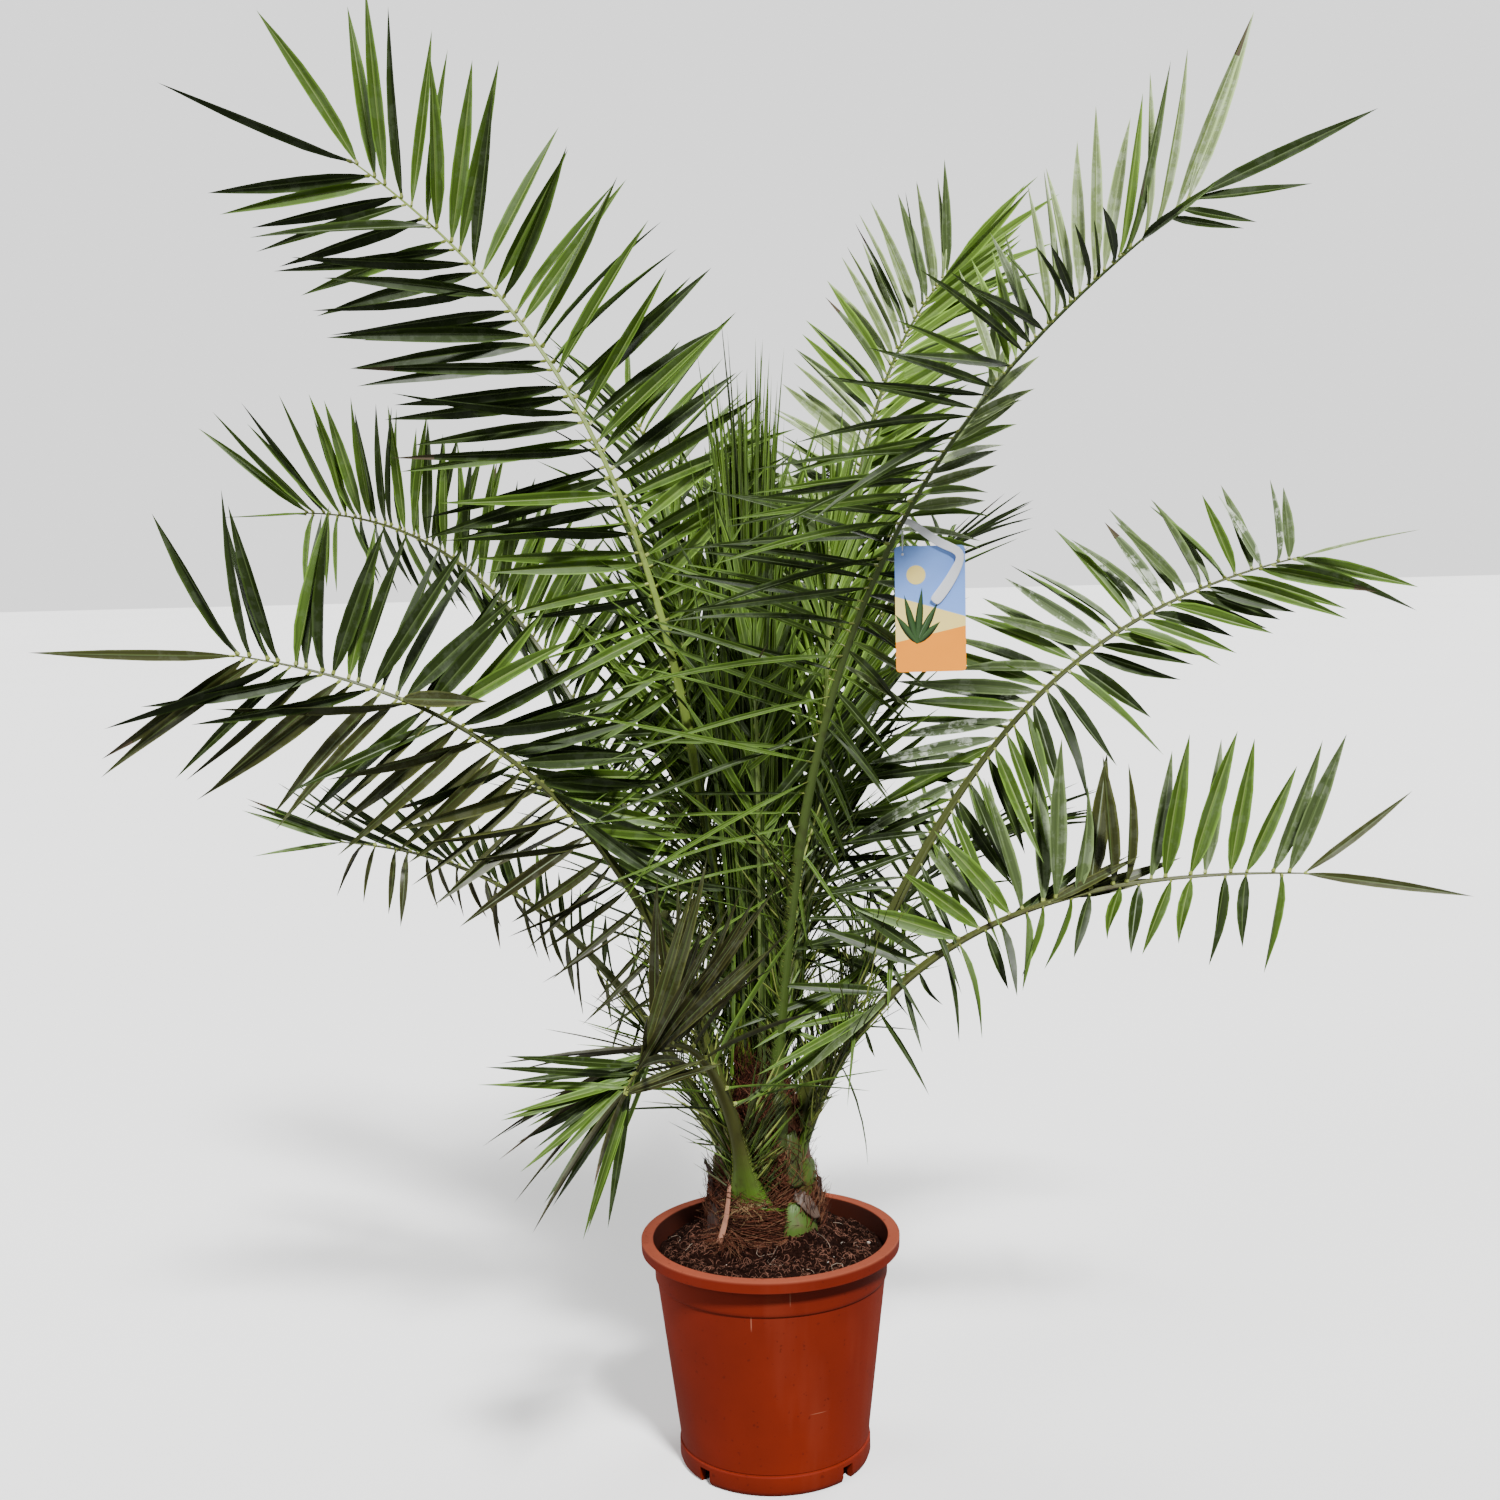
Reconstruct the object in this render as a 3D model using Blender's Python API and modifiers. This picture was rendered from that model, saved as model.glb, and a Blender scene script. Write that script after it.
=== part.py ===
"""Potted canary island date palm: a young palm with arching fronds in a round nursery pot.

Metres, +Z up. The origin is on the ground at the middle of the pot's foot.
Azimuths are in degrees, anticlockwise from +X; the front of the plant faces -Y.
"""

import math
from typing import NamedTuple

import bmesh
import bpy
from mathutils import Vector

# Pot
POT_HEIGHT = 0.248
RIM_RADIUS = 0.140
RIM_WIDTH = 0.0125
RIM_DEPTH = 0.0125
RIM_ROUND = 0.001
WALL = 0.0018
COLLAR_RADIUS = 0.1258
COLLAR_BOTTOM = 0.205
BODY_TOP_RADIUS = 0.1238
BODY_FOOT_RADIUS = 0.1028
FOOT_RING_RADIUS = 0.1042
FOOT_RING_HEIGHT = 0.022
FOOT_RIM_WIDTH = 0.0035
FLOOR_HEIGHT = 0.013
FLOOR_THICKNESS = 0.003
FLOOR_CORNER = 0.005
LEDGE = 0.0004
HUB_RADIUS = 0.022
POT_STEPS = 56
NOTCH_WIDTH = 0.011
NOTCH_HEIGHT = 0.012
NOTCH_DEPTH = 0.030
NOTCH_TURNS = (-137.0, -43.0, 47.0, 133.0)

# Soil and stem
GAP = 0.0003
MERGE_DISTANCE = 0.00005
SOIL_HEIGHT = 0.238
SOIL_EDGE_HEIGHT = 0.229
SOIL_FLAT_RADIUS = 0.102
STEM_X = -0.005
STEM_Y = 0.035
STEM_TOP = 0.430
STEM_SHAPE = (  # height above the soil, radius
    (0.000, 0.062),
    (0.014, 0.060),
    (0.040, 0.057),
    (0.075, 0.051),
    (0.110, 0.044),
    (0.145, 0.036),
    (0.172, 0.025),
    (0.186, 0.013),
)
STEM_STEPS = 24

# Unopened spear leaves
SPEAR_LEAN = 1.5
SPEAR_SHAPE = (  # height above the top of the stem, radius
    (GAP, 0.000),
    (GAP, 0.008),
    (0.060, 0.016),
    (0.160, 0.030),
    (0.300, 0.040),
    (0.520, 0.040),
    (0.680, 0.028),
    (0.780, 0.008),
    (0.792, 0.000),
)
SPEAR_STEPS = 14

# Fronds
PETIOLE_FOOT_WIDTH = 0.018
PETIOLE_WIDTH = 0.013
PETIOLE_FOOT_DEPTH = 0.014
PETIOLE_DEPTH = 0.008
CLASP_SHARE = 0.62
STALK_EDGE = 0.35
RIB_THICKNESS = 0.0045
EDGE_THICKNESS = 0.0014
TIP_WIDTH = 0.008
BARE_SHARE = 0.28
HANDLE_SHARE = 0.42
FOOT_INSET = 0.006
LEAST_FOOT_RADIUS = 0.012
ROLL_SPAN = (0.15, 0.85)
CROWDED_SPAN = (0.70, 1.0)
LEAFLET_SHARES = ((0.0, 0.5), (0.15, 0.8), (0.4, 1.0), (0.75, 1.0), (1.0, 0.95))
LEAFLET_SWEEPS = ((0.0, 72.0), (0.5, 62.0), (0.9, 50.0), (1.0, 15.0))
FREE_RADIUS = 0.06
FREE_SPAN = 0.16
LEAST_SPREAD = 0.10
BLADE_STATIONS = 9
STALK_STATIONS = (0.0, 0.2, 0.45, 0.7, 0.98)
SPLIT_MARGIN = 0.02


class Frond(NamedTuple):
    """One frond: where it leaves the stem, where it ends, and how its blade lies."""

    name: str
    foot_height: float
    foot_turn: float
    turn: float
    launch: float
    reach: float
    top: float
    arrival: float
    leaflet: float
    roll_low: float = 0.0
    roll_high: float = 0.0
    lift: float = 28.0
    skew: float = 0.0
    fullness: float = 1.0
    split: float = 0.56
    foot_width: float = PETIOLE_FOOT_WIDTH


FRONDS = (
    Frond("upper_left", 0.410, 150, 155, 81, 0.486, 1.434, 35, 0.25, 52, 52, 2, 8),
    Frond("upper_right", 0.400, -50, -42, 83, 0.525, 1.28, 29, 0.21, 0, -50, 10),
    Frond("upper_back", 0.410, 45, 57, 68, 0.485, 1.325, 30, 0.18),
    Frond("mid_left_back", 0.360, 155, 148, 70, 0.64, 1.04, 2, 0.20, 30, 50, 15, 10),
    Frond("mid_left", 0.360, 198, 192, 75, 0.531, 0.892, 11, 0.22, 45, 62, 10, 16),
    Frond("low_left_back", 0.330, 172, 150, 62, 0.59, 0.636, 0, 0.14, 20, 40, 5),
    Frond("low_front", 0.285, -105, -113, 82, 0.33, 0.485, -35, 0.18, 0, -45, 10, foot_width=0.048),
    Frond("mid_right", 0.360, 0, 12, 65, 0.632, 0.959, 11, 0.17, -30, -35, 5),
    Frond("low_right", 0.330, -20, -8, 72, 0.573, 0.637, -1, 0.17, -10, -60, 5, 12, foot_width=0.030),
    Frond("back_right", 0.375, 62, 58, 74, 0.50, 0.98, 10, 0.18, fullness=0.5),
    Frond("back", 0.360, 92, 90, 74, 0.54, 1.04, 4, 0.18, fullness=0.5),
    Frond("back_left", 0.385, 118, 112, 80, 0.40, 1.17, 32, 0.18, fullness=0.45),
    Frond("low_back_right", 0.330, 50, 46, 56, 0.48, 0.62, -5, 0.16, fullness=0.6),
    Frond("low_back", 0.320, 85, 82, 58, 0.52, 0.58, -12, 0.17, fullness=0.6),
    Frond("low_back_left", 0.340, 125, 118, 56, 0.52, 0.66, -5, 0.16, fullness=0.5),
)


class LeafBase(NamedTuple):
    """The sheathing foot of an old leaf, low on the stem."""

    name: str
    turn: float
    bottom: float
    top: float
    width_low: float
    width_high: float


LEAF_BASES = (
    LeafBase("leaf_base_front_right", -52, 0.2385, 0.292, 0.050, 0.020),
    LeafBase("leaf_base_left", 206, 0.2385, 0.310, 0.052, 0.022),
    LeafBase("leaf_base_back", 108, 0.2385, 0.300, 0.054, 0.024),
    LeafBase("leaf_base_right", 24, 0.2385, 0.305, 0.050, 0.022),
)
LEAF_BASE_THICKNESS = 0.006
LEAF_BASE_THINNING = 0.4
LEAF_BASE_SINK = 0.002
LEAF_BASE_EDGE = 0.6
LEAF_BASE_STATIONS = 5

# Plant tag that hangs on a band from the upper right frond
TAG_FROND = "upper_right"
TAG_PLACE = 0.60
TAG_WIDTH = 0.070
TAG_HEIGHT = 0.125
TAG_THICKNESS = 0.0008
TAG_CORNER = 0.004
TAG_SHIFT = 0.027
TAG_BACKSET = 0.008
BAND_LENGTH = 0.016
BAND_WIDTH = 0.003
BAND_THICKNESS = 0.001


def clear_scene():
    for thing in list(bpy.data.objects):
        bpy.data.objects.remove(thing, do_unlink=True)


def new_collection(name):
    group = bpy.data.collections.new(name)
    bpy.context.scene.collection.children.link(group)
    return group


def new_material(name, colour, roughness):
    material = bpy.data.materials.new(name)
    material.use_nodes = True
    shader = material.node_tree.nodes["Principled BSDF"]
    shader.inputs["Base Color"].default_value = (*colour, 1.0)
    shader.inputs["Roughness"].default_value = roughness
    shader.inputs["Metallic"].default_value = 0.0
    return material


def interpolate(pairs, x):
    """Value at x of the straight runs through (x, value) pairs."""
    for (x0, v0), (x1, v1) in zip(pairs, pairs[1:]):
        if x <= x1:
            share = max(0.0, (x - x0) / (x1 - x0))
            return v0 + (v1 - v0) * share
    return pairs[-1][1]


def direction(turn, rise):
    a, e = math.radians(turn), math.radians(rise)
    return Vector((math.cos(a) * math.cos(e), math.sin(a) * math.cos(e), math.sin(e)))


def turned(name, profile, steps, material, group):
    """A profile of (radius, height) points turned about its own Z axis."""
    mesh = bpy.data.meshes.new(name)
    points = [(radius, 0.0, height) for radius, height in profile]
    mesh.from_pydata(points, [(i, i + 1) for i in range(len(points) - 1)], [])
    thing = bpy.data.objects.new(name, mesh)
    group.objects.link(thing)
    screw = thing.modifiers.new("turn", "SCREW")
    screw.angle = math.tau
    screw.steps = steps
    screw.render_steps = steps
    screw.use_merge_vertices = True
    screw.merge_threshold = MERGE_DISTANCE
    mesh.materials.append(material)
    return thing


def mark_as_cutter(thing):
    thing.display_type = "WIRE"
    thing.hide_render = True


def cut(thing, cutter):
    boolean = thing.modifiers.new("cut", "BOOLEAN")
    boolean.operation = "DIFFERENCE"
    boolean.solver = "EXACT"
    boolean.object = cutter


def pot_profile():
    """From the middle of the floor up the inside, over the rim and down the outside."""
    under_rim = POT_HEIGHT - WALL
    lip_inside = RIM_RADIUS - WALL
    neck = RIM_RADIUS - RIM_WIDTH + RIM_ROUND
    collar_top = POT_HEIGHT - RIM_DEPTH
    floor_top = FLOOR_HEIGHT + FLOOR_THICKNESS
    ring_inside = FOOT_RING_RADIUS - 2.0 * FOOT_RIM_WIDTH
    return [
        (0.0, floor_top),
        (BODY_FOOT_RADIUS - WALL - FLOOR_CORNER, floor_top),
        (BODY_FOOT_RADIUS - WALL, floor_top + FLOOR_CORNER),
        (BODY_TOP_RADIUS - WALL, COLLAR_BOTTOM),
        (COLLAR_RADIUS - WALL, COLLAR_BOTTOM + WALL),
        (neck - WALL, POT_HEIGHT - 2.0 * RIM_ROUND),
        (neck - WALL + RIM_ROUND, POT_HEIGHT),
        (RIM_RADIUS - RIM_ROUND, POT_HEIGHT),
        (RIM_RADIUS, POT_HEIGHT - RIM_ROUND),
        (RIM_RADIUS - LEDGE, collar_top),
        (lip_inside - LEDGE, collar_top),
        (lip_inside, under_rim),
        (neck, under_rim),
        (COLLAR_RADIUS, collar_top),
        (COLLAR_RADIUS - LEDGE, COLLAR_BOTTOM + WALL),
        (BODY_TOP_RADIUS, COLLAR_BOTTOM),
        (BODY_FOOT_RADIUS, FOOT_RING_HEIGHT + RIM_ROUND),
        (FOOT_RING_RADIUS, FOOT_RING_HEIGHT),
        (FOOT_RING_RADIUS, FOOT_RING_HEIGHT - 4.0 * RIM_ROUND),
        (FOOT_RING_RADIUS - 2.0 * RIM_ROUND, 2.0 * RIM_ROUND),
        (FOOT_RING_RADIUS - FOOT_RIM_WIDTH, 0.0),
        (ring_inside, 0.0),
        (ring_inside - WALL, FLOOR_HEIGHT),
        (HUB_RADIUS + WALL, FLOOR_HEIGHT),
        (HUB_RADIUS, 0.0),
        (0.0, 0.0),
    ]


def added_cube(name, group):
    """A unit cube primitive, moved from the scene's own collection to a group."""
    bpy.ops.mesh.primitive_cube_add(size=1.0)
    cube = bpy.context.active_object
    cube.name = name
    for owner in list(cube.users_collection):
        owner.objects.unlink(cube)
    group.objects.link(cube)
    return cube


def build_pot(group, cutters):
    terracotta = new_material("terracotta plastic", (0.42, 0.10, 0.045), 0.45)
    pot = turned("pot", pot_profile(), POT_STEPS, terracotta, group)
    for index, turn in enumerate(NOTCH_TURNS):
        notch = added_cube(f"drain_notch_{index}", cutters)
        place = direction(turn, 0.0) * FOOT_RING_RADIUS
        notch.location = (place.x, place.y, 0.0)
        notch.rotation_euler = (0.0, 0.0, math.radians(turn))
        notch.scale = (NOTCH_DEPTH, NOTCH_WIDTH, 2.0 * NOTCH_HEIGHT)
        mark_as_cutter(notch)
        cut(pot, notch)


def build_soil(group):
    compost = new_material("compost", (0.045, 0.022, 0.014), 0.95)
    floor_top = FLOOR_HEIGHT + FLOOR_THICKNESS + GAP
    side_low = BODY_FOOT_RADIUS - WALL - GAP
    side_high = BODY_TOP_RADIUS - WALL - GAP
    profile = [
        (0.0, SOIL_HEIGHT),
        (SOIL_FLAT_RADIUS, SOIL_HEIGHT),
        (0.5 * (SOIL_FLAT_RADIUS + side_high), 0.6 * SOIL_HEIGHT + 0.4 * SOIL_EDGE_HEIGHT),
        (side_high, SOIL_EDGE_HEIGHT),
        (side_high, COLLAR_BOTTOM),
        (side_low, floor_top + FLOOR_CORNER),
        (side_low - FLOOR_CORNER, floor_top),
        (0.0, floor_top),
    ]
    turned("soil", profile, POT_STEPS, compost, group)


def stem_profile(offset=0.0):
    foot = SOIL_HEIGHT + GAP
    outline = [(radius + offset, foot + height) for height, radius in STEM_SHAPE]
    top = [(0.0, STEM_TOP + offset)]
    return top + outline[::-1] + [(0.0, foot)]


def stem_radius(height):
    return interpolate([(SOIL_HEIGHT + h, r) for h, r in STEM_SHAPE] + [(STEM_TOP, 0.0)], height)


def build_stem(group, cutters):
    """The stem, and the slightly wider cutter that seats what grows from its flank."""
    fibre = new_material("sheath fibre", (0.14, 0.055, 0.03), 0.9)
    stem = turned("trunk", stem_profile(), STEM_STEPS, fibre, group)
    stem.location = (STEM_X, STEM_Y, 0.0)
    socket = turned("trunk_socket", stem_profile(GAP), STEM_STEPS, fibre, cutters)
    socket.location = stem.location
    mark_as_cutter(socket)
    return socket


def build_spear(group):
    """The upright sheaf of leaves that have not opened yet."""
    fresh = new_material("unopened leaves", (0.10, 0.22, 0.035), 0.5)
    profile = [(radius, height) for height, radius in reversed(SPEAR_SHAPE)]
    spear = turned("spear", profile, SPEAR_STEPS, fresh, group)
    spear.location = (STEM_X, STEM_Y, STEM_TOP)
    spear.rotation_euler = (0.0, math.radians(SPEAR_LEAN), 0.0)


def leaflet_share(u):
    """Leaflet length, as a share of the frond's longest, at u along the leafy part."""
    return interpolate(LEAFLET_SHARES, u)


def leaflet_sweep(u, side, skew):
    """Angle between the rib and a leaflet, in degrees."""
    angle = interpolate(LEAFLET_SWEEPS, u)
    return angle + side * skew * min(1.0, 6.0 * (1.0 - u) + 0.2)


class Rib:
    """The curve of one frond's rib, with the frame of its blade at each point."""

    def __init__(self, frond):
        self.frond = frond
        axis = Vector((STEM_X, STEM_Y, 0.0))
        foot_radius = max(LEAST_FOOT_RADIUS, stem_radius(frond.foot_height) - FOOT_INSET)
        foot = axis + direction(frond.foot_turn, 0.0) * foot_radius
        foot.z = frond.foot_height
        tip = axis + direction(frond.turn, 0.0) * frond.reach
        tip.z = frond.top
        handle = HANDLE_SHARE * (tip - foot).length
        self.points = (
            foot,
            foot + direction(frond.foot_turn, frond.launch) * handle,
            tip - direction(frond.turn, frond.arrival) * handle,
            tip,
        )

    def at(self, t):
        a, b, c, d = self.points
        k = 1.0 - t
        return a * k**3 + b * (3 * k * k * t) + c * (3 * k * t * t) + d * t**3

    def frame(self, t):
        """Tangent, right-hand side and upper normal of the blade at t."""
        a, b, c, d = self.points
        k = 1.0 - t
        tangent = ((b - a) * (k * k) + (c - b) * (2 * k * t) + (d - c) * (t * t)).normalized()
        turn = math.radians(self.frond.turn)
        side = Vector((math.sin(turn), -math.cos(turn), 0.0))
        side = (side - tangent * side.dot(tangent)).normalized()
        normal = side.cross(tangent)
        rolls = (self.frond.roll_low, self.frond.roll_high)
        roll = interpolate(list(zip(ROLL_SPAN, rolls)), t)
        c1, s1 = math.cos(math.radians(roll)), math.sin(math.radians(roll))
        return tangent, side * c1 + normal * s1, normal * c1 - side * s1

    def leaflet(self, t, side):
        """The way and length of the leaflet at t on one side of the rib."""
        frond = self.frond
        u = (t - BARE_SHARE) / (1.0 - BARE_SHARE)
        tangent, across, normal = self.frame(t)
        sweep = math.radians(leaflet_sweep(u, side, frond.skew))
        lift = math.radians(frond.lift)
        outward = across * (side * math.cos(lift)) + normal * math.sin(lift)
        length = frond.leaflet * leaflet_share(u)
        return (tangent * math.cos(sweep) + outward * math.sin(sweep)) * length


def petiole_ring(rib, t):
    """Section of the bare stalk: broad where it clasps the stem, narrow further up."""
    _, across, normal = rib.frame(t)
    centre = rib.at(t)
    share = t / BARE_SHARE
    narrowing = min(1.0, share / CLASP_SHARE)
    half = 0.5 * (rib.frond.foot_width + (PETIOLE_WIDTH - rib.frond.foot_width) * narrowing)
    depth = 0.5 * (PETIOLE_FOOT_DEPTH + (PETIOLE_DEPTH - PETIOLE_FOOT_DEPTH) * share)
    edge = normal * (STALK_EDGE * depth)
    return [
        centre - across * half + edge,
        centre + normal * depth,
        centre + across * half + edge,
        centre + across * half - edge,
        centre - normal * depth,
        centre - across * half - edge,
    ]


def blade_ring(rib, t):
    """Section of the blade through the leaflet pair at t, from tip to tip."""
    _, _, normal = rib.frame(t)
    centre = rib.at(t)
    from_axis = math.hypot(centre.x - STEM_X, centre.y - STEM_Y)
    free = min(1.0, max(0.0, (from_axis - FREE_RADIUS) / FREE_SPAN))
    u = (t - BARE_SHARE) / (1.0 - BARE_SHARE)
    crowded = interpolate(list(zip(CROWDED_SPAN, (rib.frond.fullness, 1.0))), u)
    spread = (LEAST_SPREAD + (1.0 - LEAST_SPREAD) * free) * crowded
    right = centre + rib.leaflet(t, 1.0) * spread
    left = centre + rib.leaflet(t, -1.0) * spread
    edge = normal * (0.5 * EDGE_THICKNESS)
    rib_half = normal * (0.5 * RIB_THICKNESS)
    return [
        left + edge,
        centre + rib_half,
        right + edge,
        right - edge,
        centre - rib_half,
        left - edge,
    ]


def end_ring(rib):
    """Narrow section at the tip of the last leaflets."""
    tangent, across, normal = rib.frame(1.0)
    centre = rib.at(1.0) + tangent * (rib.frond.leaflet * leaflet_share(1.0))
    edge = normal * (0.5 * EDGE_THICKNESS)
    half = across * (0.5 * TIP_WIDTH)
    return [
        centre - half + edge,
        centre + edge,
        centre + half + edge,
        centre + half - edge,
        centre - edge,
        centre - half - edge,
    ]


def loft(name, rings, material, group):
    """Closed skin through six-cornered rings."""
    body = bmesh.new()
    rows = [[body.verts.new(point) for point in ring] for ring in rings]
    for low, high in zip(rows, rows[1:]):
        for i in range(6):
            j = (i + 1) % 6
            body.faces.new((low[i], low[j], high[j], high[i]))
    for row in (rows[0], rows[-1]):
        body.faces.new((row[0], row[1], row[4], row[5]))
        body.faces.new((row[1], row[2], row[3], row[4]))
    bmesh.ops.triangulate(body, faces=body.faces[:])
    bmesh.ops.recalc_face_normals(body, faces=body.faces[:])
    mesh = bpy.data.meshes.new(name)
    body.to_mesh(mesh)
    body.free()
    thing = bpy.data.objects.new(name, mesh)
    mesh.materials.append(material)
    group.objects.link(thing)
    return thing


def build_frond(frond, group, socket):
    """Two solids, parted where the frond bends over: the stalk, and the outer blade."""
    green = new_material(f"frond green {frond.name}", (0.07, 0.19, 0.03), 0.5)
    rib = Rib(frond)
    step = (1.0 - BARE_SHARE) / BLADE_STATIONS
    leafy = [BARE_SHARE + step * i for i in range(BLADE_STATIONS + 1)]
    low = [t for t in leafy if t < frond.split - SPLIT_MARGIN]
    high = [t for t in leafy if t > frond.split + SPLIT_MARGIN]
    seam = GAP / (rib.points[3] - rib.points[0]).length
    stalk_rings = [petiole_ring(rib, share * BARE_SHARE) for share in STALK_STATIONS]
    stalk_rings += [blade_ring(rib, t) for t in low + [frond.split - seam]]
    blade_rings = [blade_ring(rib, t) for t in [frond.split + seam] + high]
    blade_rings += [end_ring(rib)]
    stalk = loft(f"frond_{frond.name}_stalk", stalk_rings, green, group)
    cut(stalk, socket)
    loft(f"frond_{frond.name}_blade", blade_rings, green, group)


def build_leaf_base(base, group, socket):
    """A short clasping sheath that follows the flank of the stem."""
    husk = new_material(f"husk {base.name}", (0.12, 0.20, 0.04), 0.7)
    axis = Vector((STEM_X, STEM_Y, 0.0))
    outward = direction(base.turn, 0.0)
    across = direction(base.turn + 90.0, 0.0)
    rings = []
    for i in range(LEAF_BASE_STATIONS + 1):
        share = i / LEAF_BASE_STATIONS
        height = base.bottom + (base.top - base.bottom) * share
        flank = stem_radius(height) - LEAF_BASE_SINK
        angle = 0.5 * (base.width_low + (base.width_high - base.width_low) * share) / flank
        depth = LEAF_BASE_THICKNESS * (1.0 - LEAF_BASE_THINNING * share) + LEAF_BASE_SINK
        middle = axis + outward * flank
        middle.z = height
        edge = middle - outward * (flank * (1.0 - math.cos(angle)))
        half = across * (flank * math.sin(angle))
        rings.append([
            edge - half + outward * (LEAF_BASE_EDGE * depth),
            middle + outward * depth,
            edge + half + outward * (LEAF_BASE_EDGE * depth),
            edge + half,
            middle,
            edge - half,
        ])
    sheath = loft(base.name, rings, husk, group)
    cut(sheath, socket)


def card_outline():
    """Corners of the card, each rounded by two short edges."""
    corners = []
    for side_x, side_y, start in ((1, 1, 0.0), (-1, 1, 90.0), (-1, -1, 180.0), (1, -1, 270.0)):
        centre_x = side_x * (0.5 * TAG_WIDTH - TAG_CORNER)
        centre_y = side_y * (0.5 * TAG_HEIGHT - TAG_CORNER)
        for step in range(3):
            angle = math.radians(start + 45.0 * step)
            x = centre_x + TAG_CORNER * math.cos(angle)
            y = centre_y + TAG_CORNER * math.sin(angle)
            corners.append((x, y, 0.0, 1.0))
    return corners


def build_tag(group):
    """A card that hangs upright on a short band under the rib of one frond."""
    card = new_material("printed card", (0.55, 0.62, 0.72), 0.4)
    pale = new_material("pale band", (0.80, 0.80, 0.76), 0.4)
    rib = Rib(next(frond for frond in FRONDS if frond.name == TAG_FROND))
    _, across, normal = rib.frame(TAG_PLACE)
    hook = rib.at(TAG_PLACE) - normal * (0.5 * RIB_THICKNESS) - across * TAG_BACKSET
    band_top = hook.z - 0.5 * BAND_WIDTH - 3.0 * GAP

    band = added_cube("tag_band", group)
    band.data.materials.append(pale)
    band.scale = (BAND_WIDTH, BAND_THICKNESS, BAND_LENGTH)
    band.location = (hook.x, hook.y, band_top - 0.5 * BAND_LENGTH)

    outline = bpy.data.curves.new("tag", "CURVE")
    outline.dimensions = "2D"
    outline.fill_mode = "BOTH"
    outline.extrude = 0.5 * TAG_THICKNESS
    spline = outline.splines.new("POLY")
    corners = card_outline()
    spline.points.add(len(corners) - 1)
    for point, corner in zip(spline.points, corners):
        point.co = corner
    spline.use_cyclic_u = True
    outline.materials.append(card)
    tag = bpy.data.objects.new("tag", outline)
    tag.rotation_euler = (math.radians(90.0), 0.0, 0.0)
    hang = BAND_LENGTH + GAP + 0.5 * TAG_HEIGHT
    tag.location = (hook.x + TAG_SHIFT, hook.y, band_top - hang)
    group.objects.link(tag)


def main():
    clear_scene()
    palm = new_collection("potted palm")
    cutters = new_collection("cutters")
    build_pot(palm, cutters)
    build_soil(palm)
    socket = build_stem(palm, cutters)
    build_spear(palm)
    for frond in FRONDS:
        build_frond(frond, palm, socket)
    for base in LEAF_BASES:
        build_leaf_base(base, palm, socket)
    build_tag(palm)


main()
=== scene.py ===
"""Looks of a potted canary island date palm, built around its frame.

Metres, +Z up. The origin is on the ground at the middle of the pot's foot, and the front faces -Y.
Azimuths are in degrees, anticlockwise from +X. Run as a script, or registered as an add-on whose
sidebar panel lists one operator for each group of pieces.
"""

import math
from typing import NamedTuple

import bmesh
import bpy
import numpy as np
from mathutils import Matrix, Vector, noise


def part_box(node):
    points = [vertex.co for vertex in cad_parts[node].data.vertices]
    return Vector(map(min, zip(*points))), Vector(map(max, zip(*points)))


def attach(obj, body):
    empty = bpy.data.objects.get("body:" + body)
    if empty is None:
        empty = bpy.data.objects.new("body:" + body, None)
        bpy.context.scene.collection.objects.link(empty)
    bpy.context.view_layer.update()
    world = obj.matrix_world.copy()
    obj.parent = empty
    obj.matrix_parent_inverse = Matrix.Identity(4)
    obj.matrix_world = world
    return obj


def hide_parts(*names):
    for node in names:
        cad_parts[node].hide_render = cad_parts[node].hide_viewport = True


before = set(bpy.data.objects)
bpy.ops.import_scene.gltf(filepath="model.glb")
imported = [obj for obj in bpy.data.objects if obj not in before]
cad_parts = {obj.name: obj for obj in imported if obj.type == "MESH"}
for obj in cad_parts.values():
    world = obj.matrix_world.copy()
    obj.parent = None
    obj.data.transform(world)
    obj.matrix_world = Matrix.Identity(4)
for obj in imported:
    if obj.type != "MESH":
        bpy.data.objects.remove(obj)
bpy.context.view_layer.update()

bl_info = {
    "name": "Potted Canary Island Date Palm",
    "version": (1, 0, 0),
    "blender": (4, 5, 0),
    "location": "3D View > Sidebar > Palm",
    "description": "Builds a potted palm: pot, compost, fibrous stem, fronds and card",
    "category": "Add Mesh",
}

BODY = "root"
MERGE = 0.00002
GAP = 0.0003
GOLDEN_TURN = 137.5

# Pot and soil, as in the frame
POT_HEIGHT = 0.248
RIM_RADIUS = 0.140
RIM_WIDTH = 0.0125
RIM_DEPTH = 0.0125
WALL = 0.0018
COLLAR_RADIUS = 0.1258
COLLAR_BOTTOM = 0.205
BODY_TOP_RADIUS = 0.1238
BODY_FOOT_RADIUS = 0.1028
FOOT_RING_RADIUS = 0.1042
FOOT_RING_HEIGHT = 0.022
FOOT_RIM_WIDTH = 0.0035
FLOOR_HEIGHT = 0.013
FLOOR_THICKNESS = 0.003
HUB_RADIUS = 0.022
NOTCH_WIDTH = 0.0150
NOTCH_HEIGHT = 0.017
NOTCH_DEPTH = 0.030
NOTCH_TURNS = (-137.0, -43.0, 47.0, 133.0)
SOIL_HEIGHT = 0.238
SOIL_EDGE_HEIGHT = 0.229

# Stem and spear
STEM_X = -0.005
STEM_Y = 0.035
STEM_TOP = 0.430
STEM_SHAPE = (  # height above the soil, radius
    (0.000, 0.062),
    (0.014, 0.060),
    (0.040, 0.057),
    (0.075, 0.051),
    (0.110, 0.044),
    (0.145, 0.036),
    (0.172, 0.025),
    (0.186, 0.013),
)
SPEAR_TOP = 1.238
SPEAR_RADIUS = 0.040

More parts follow.
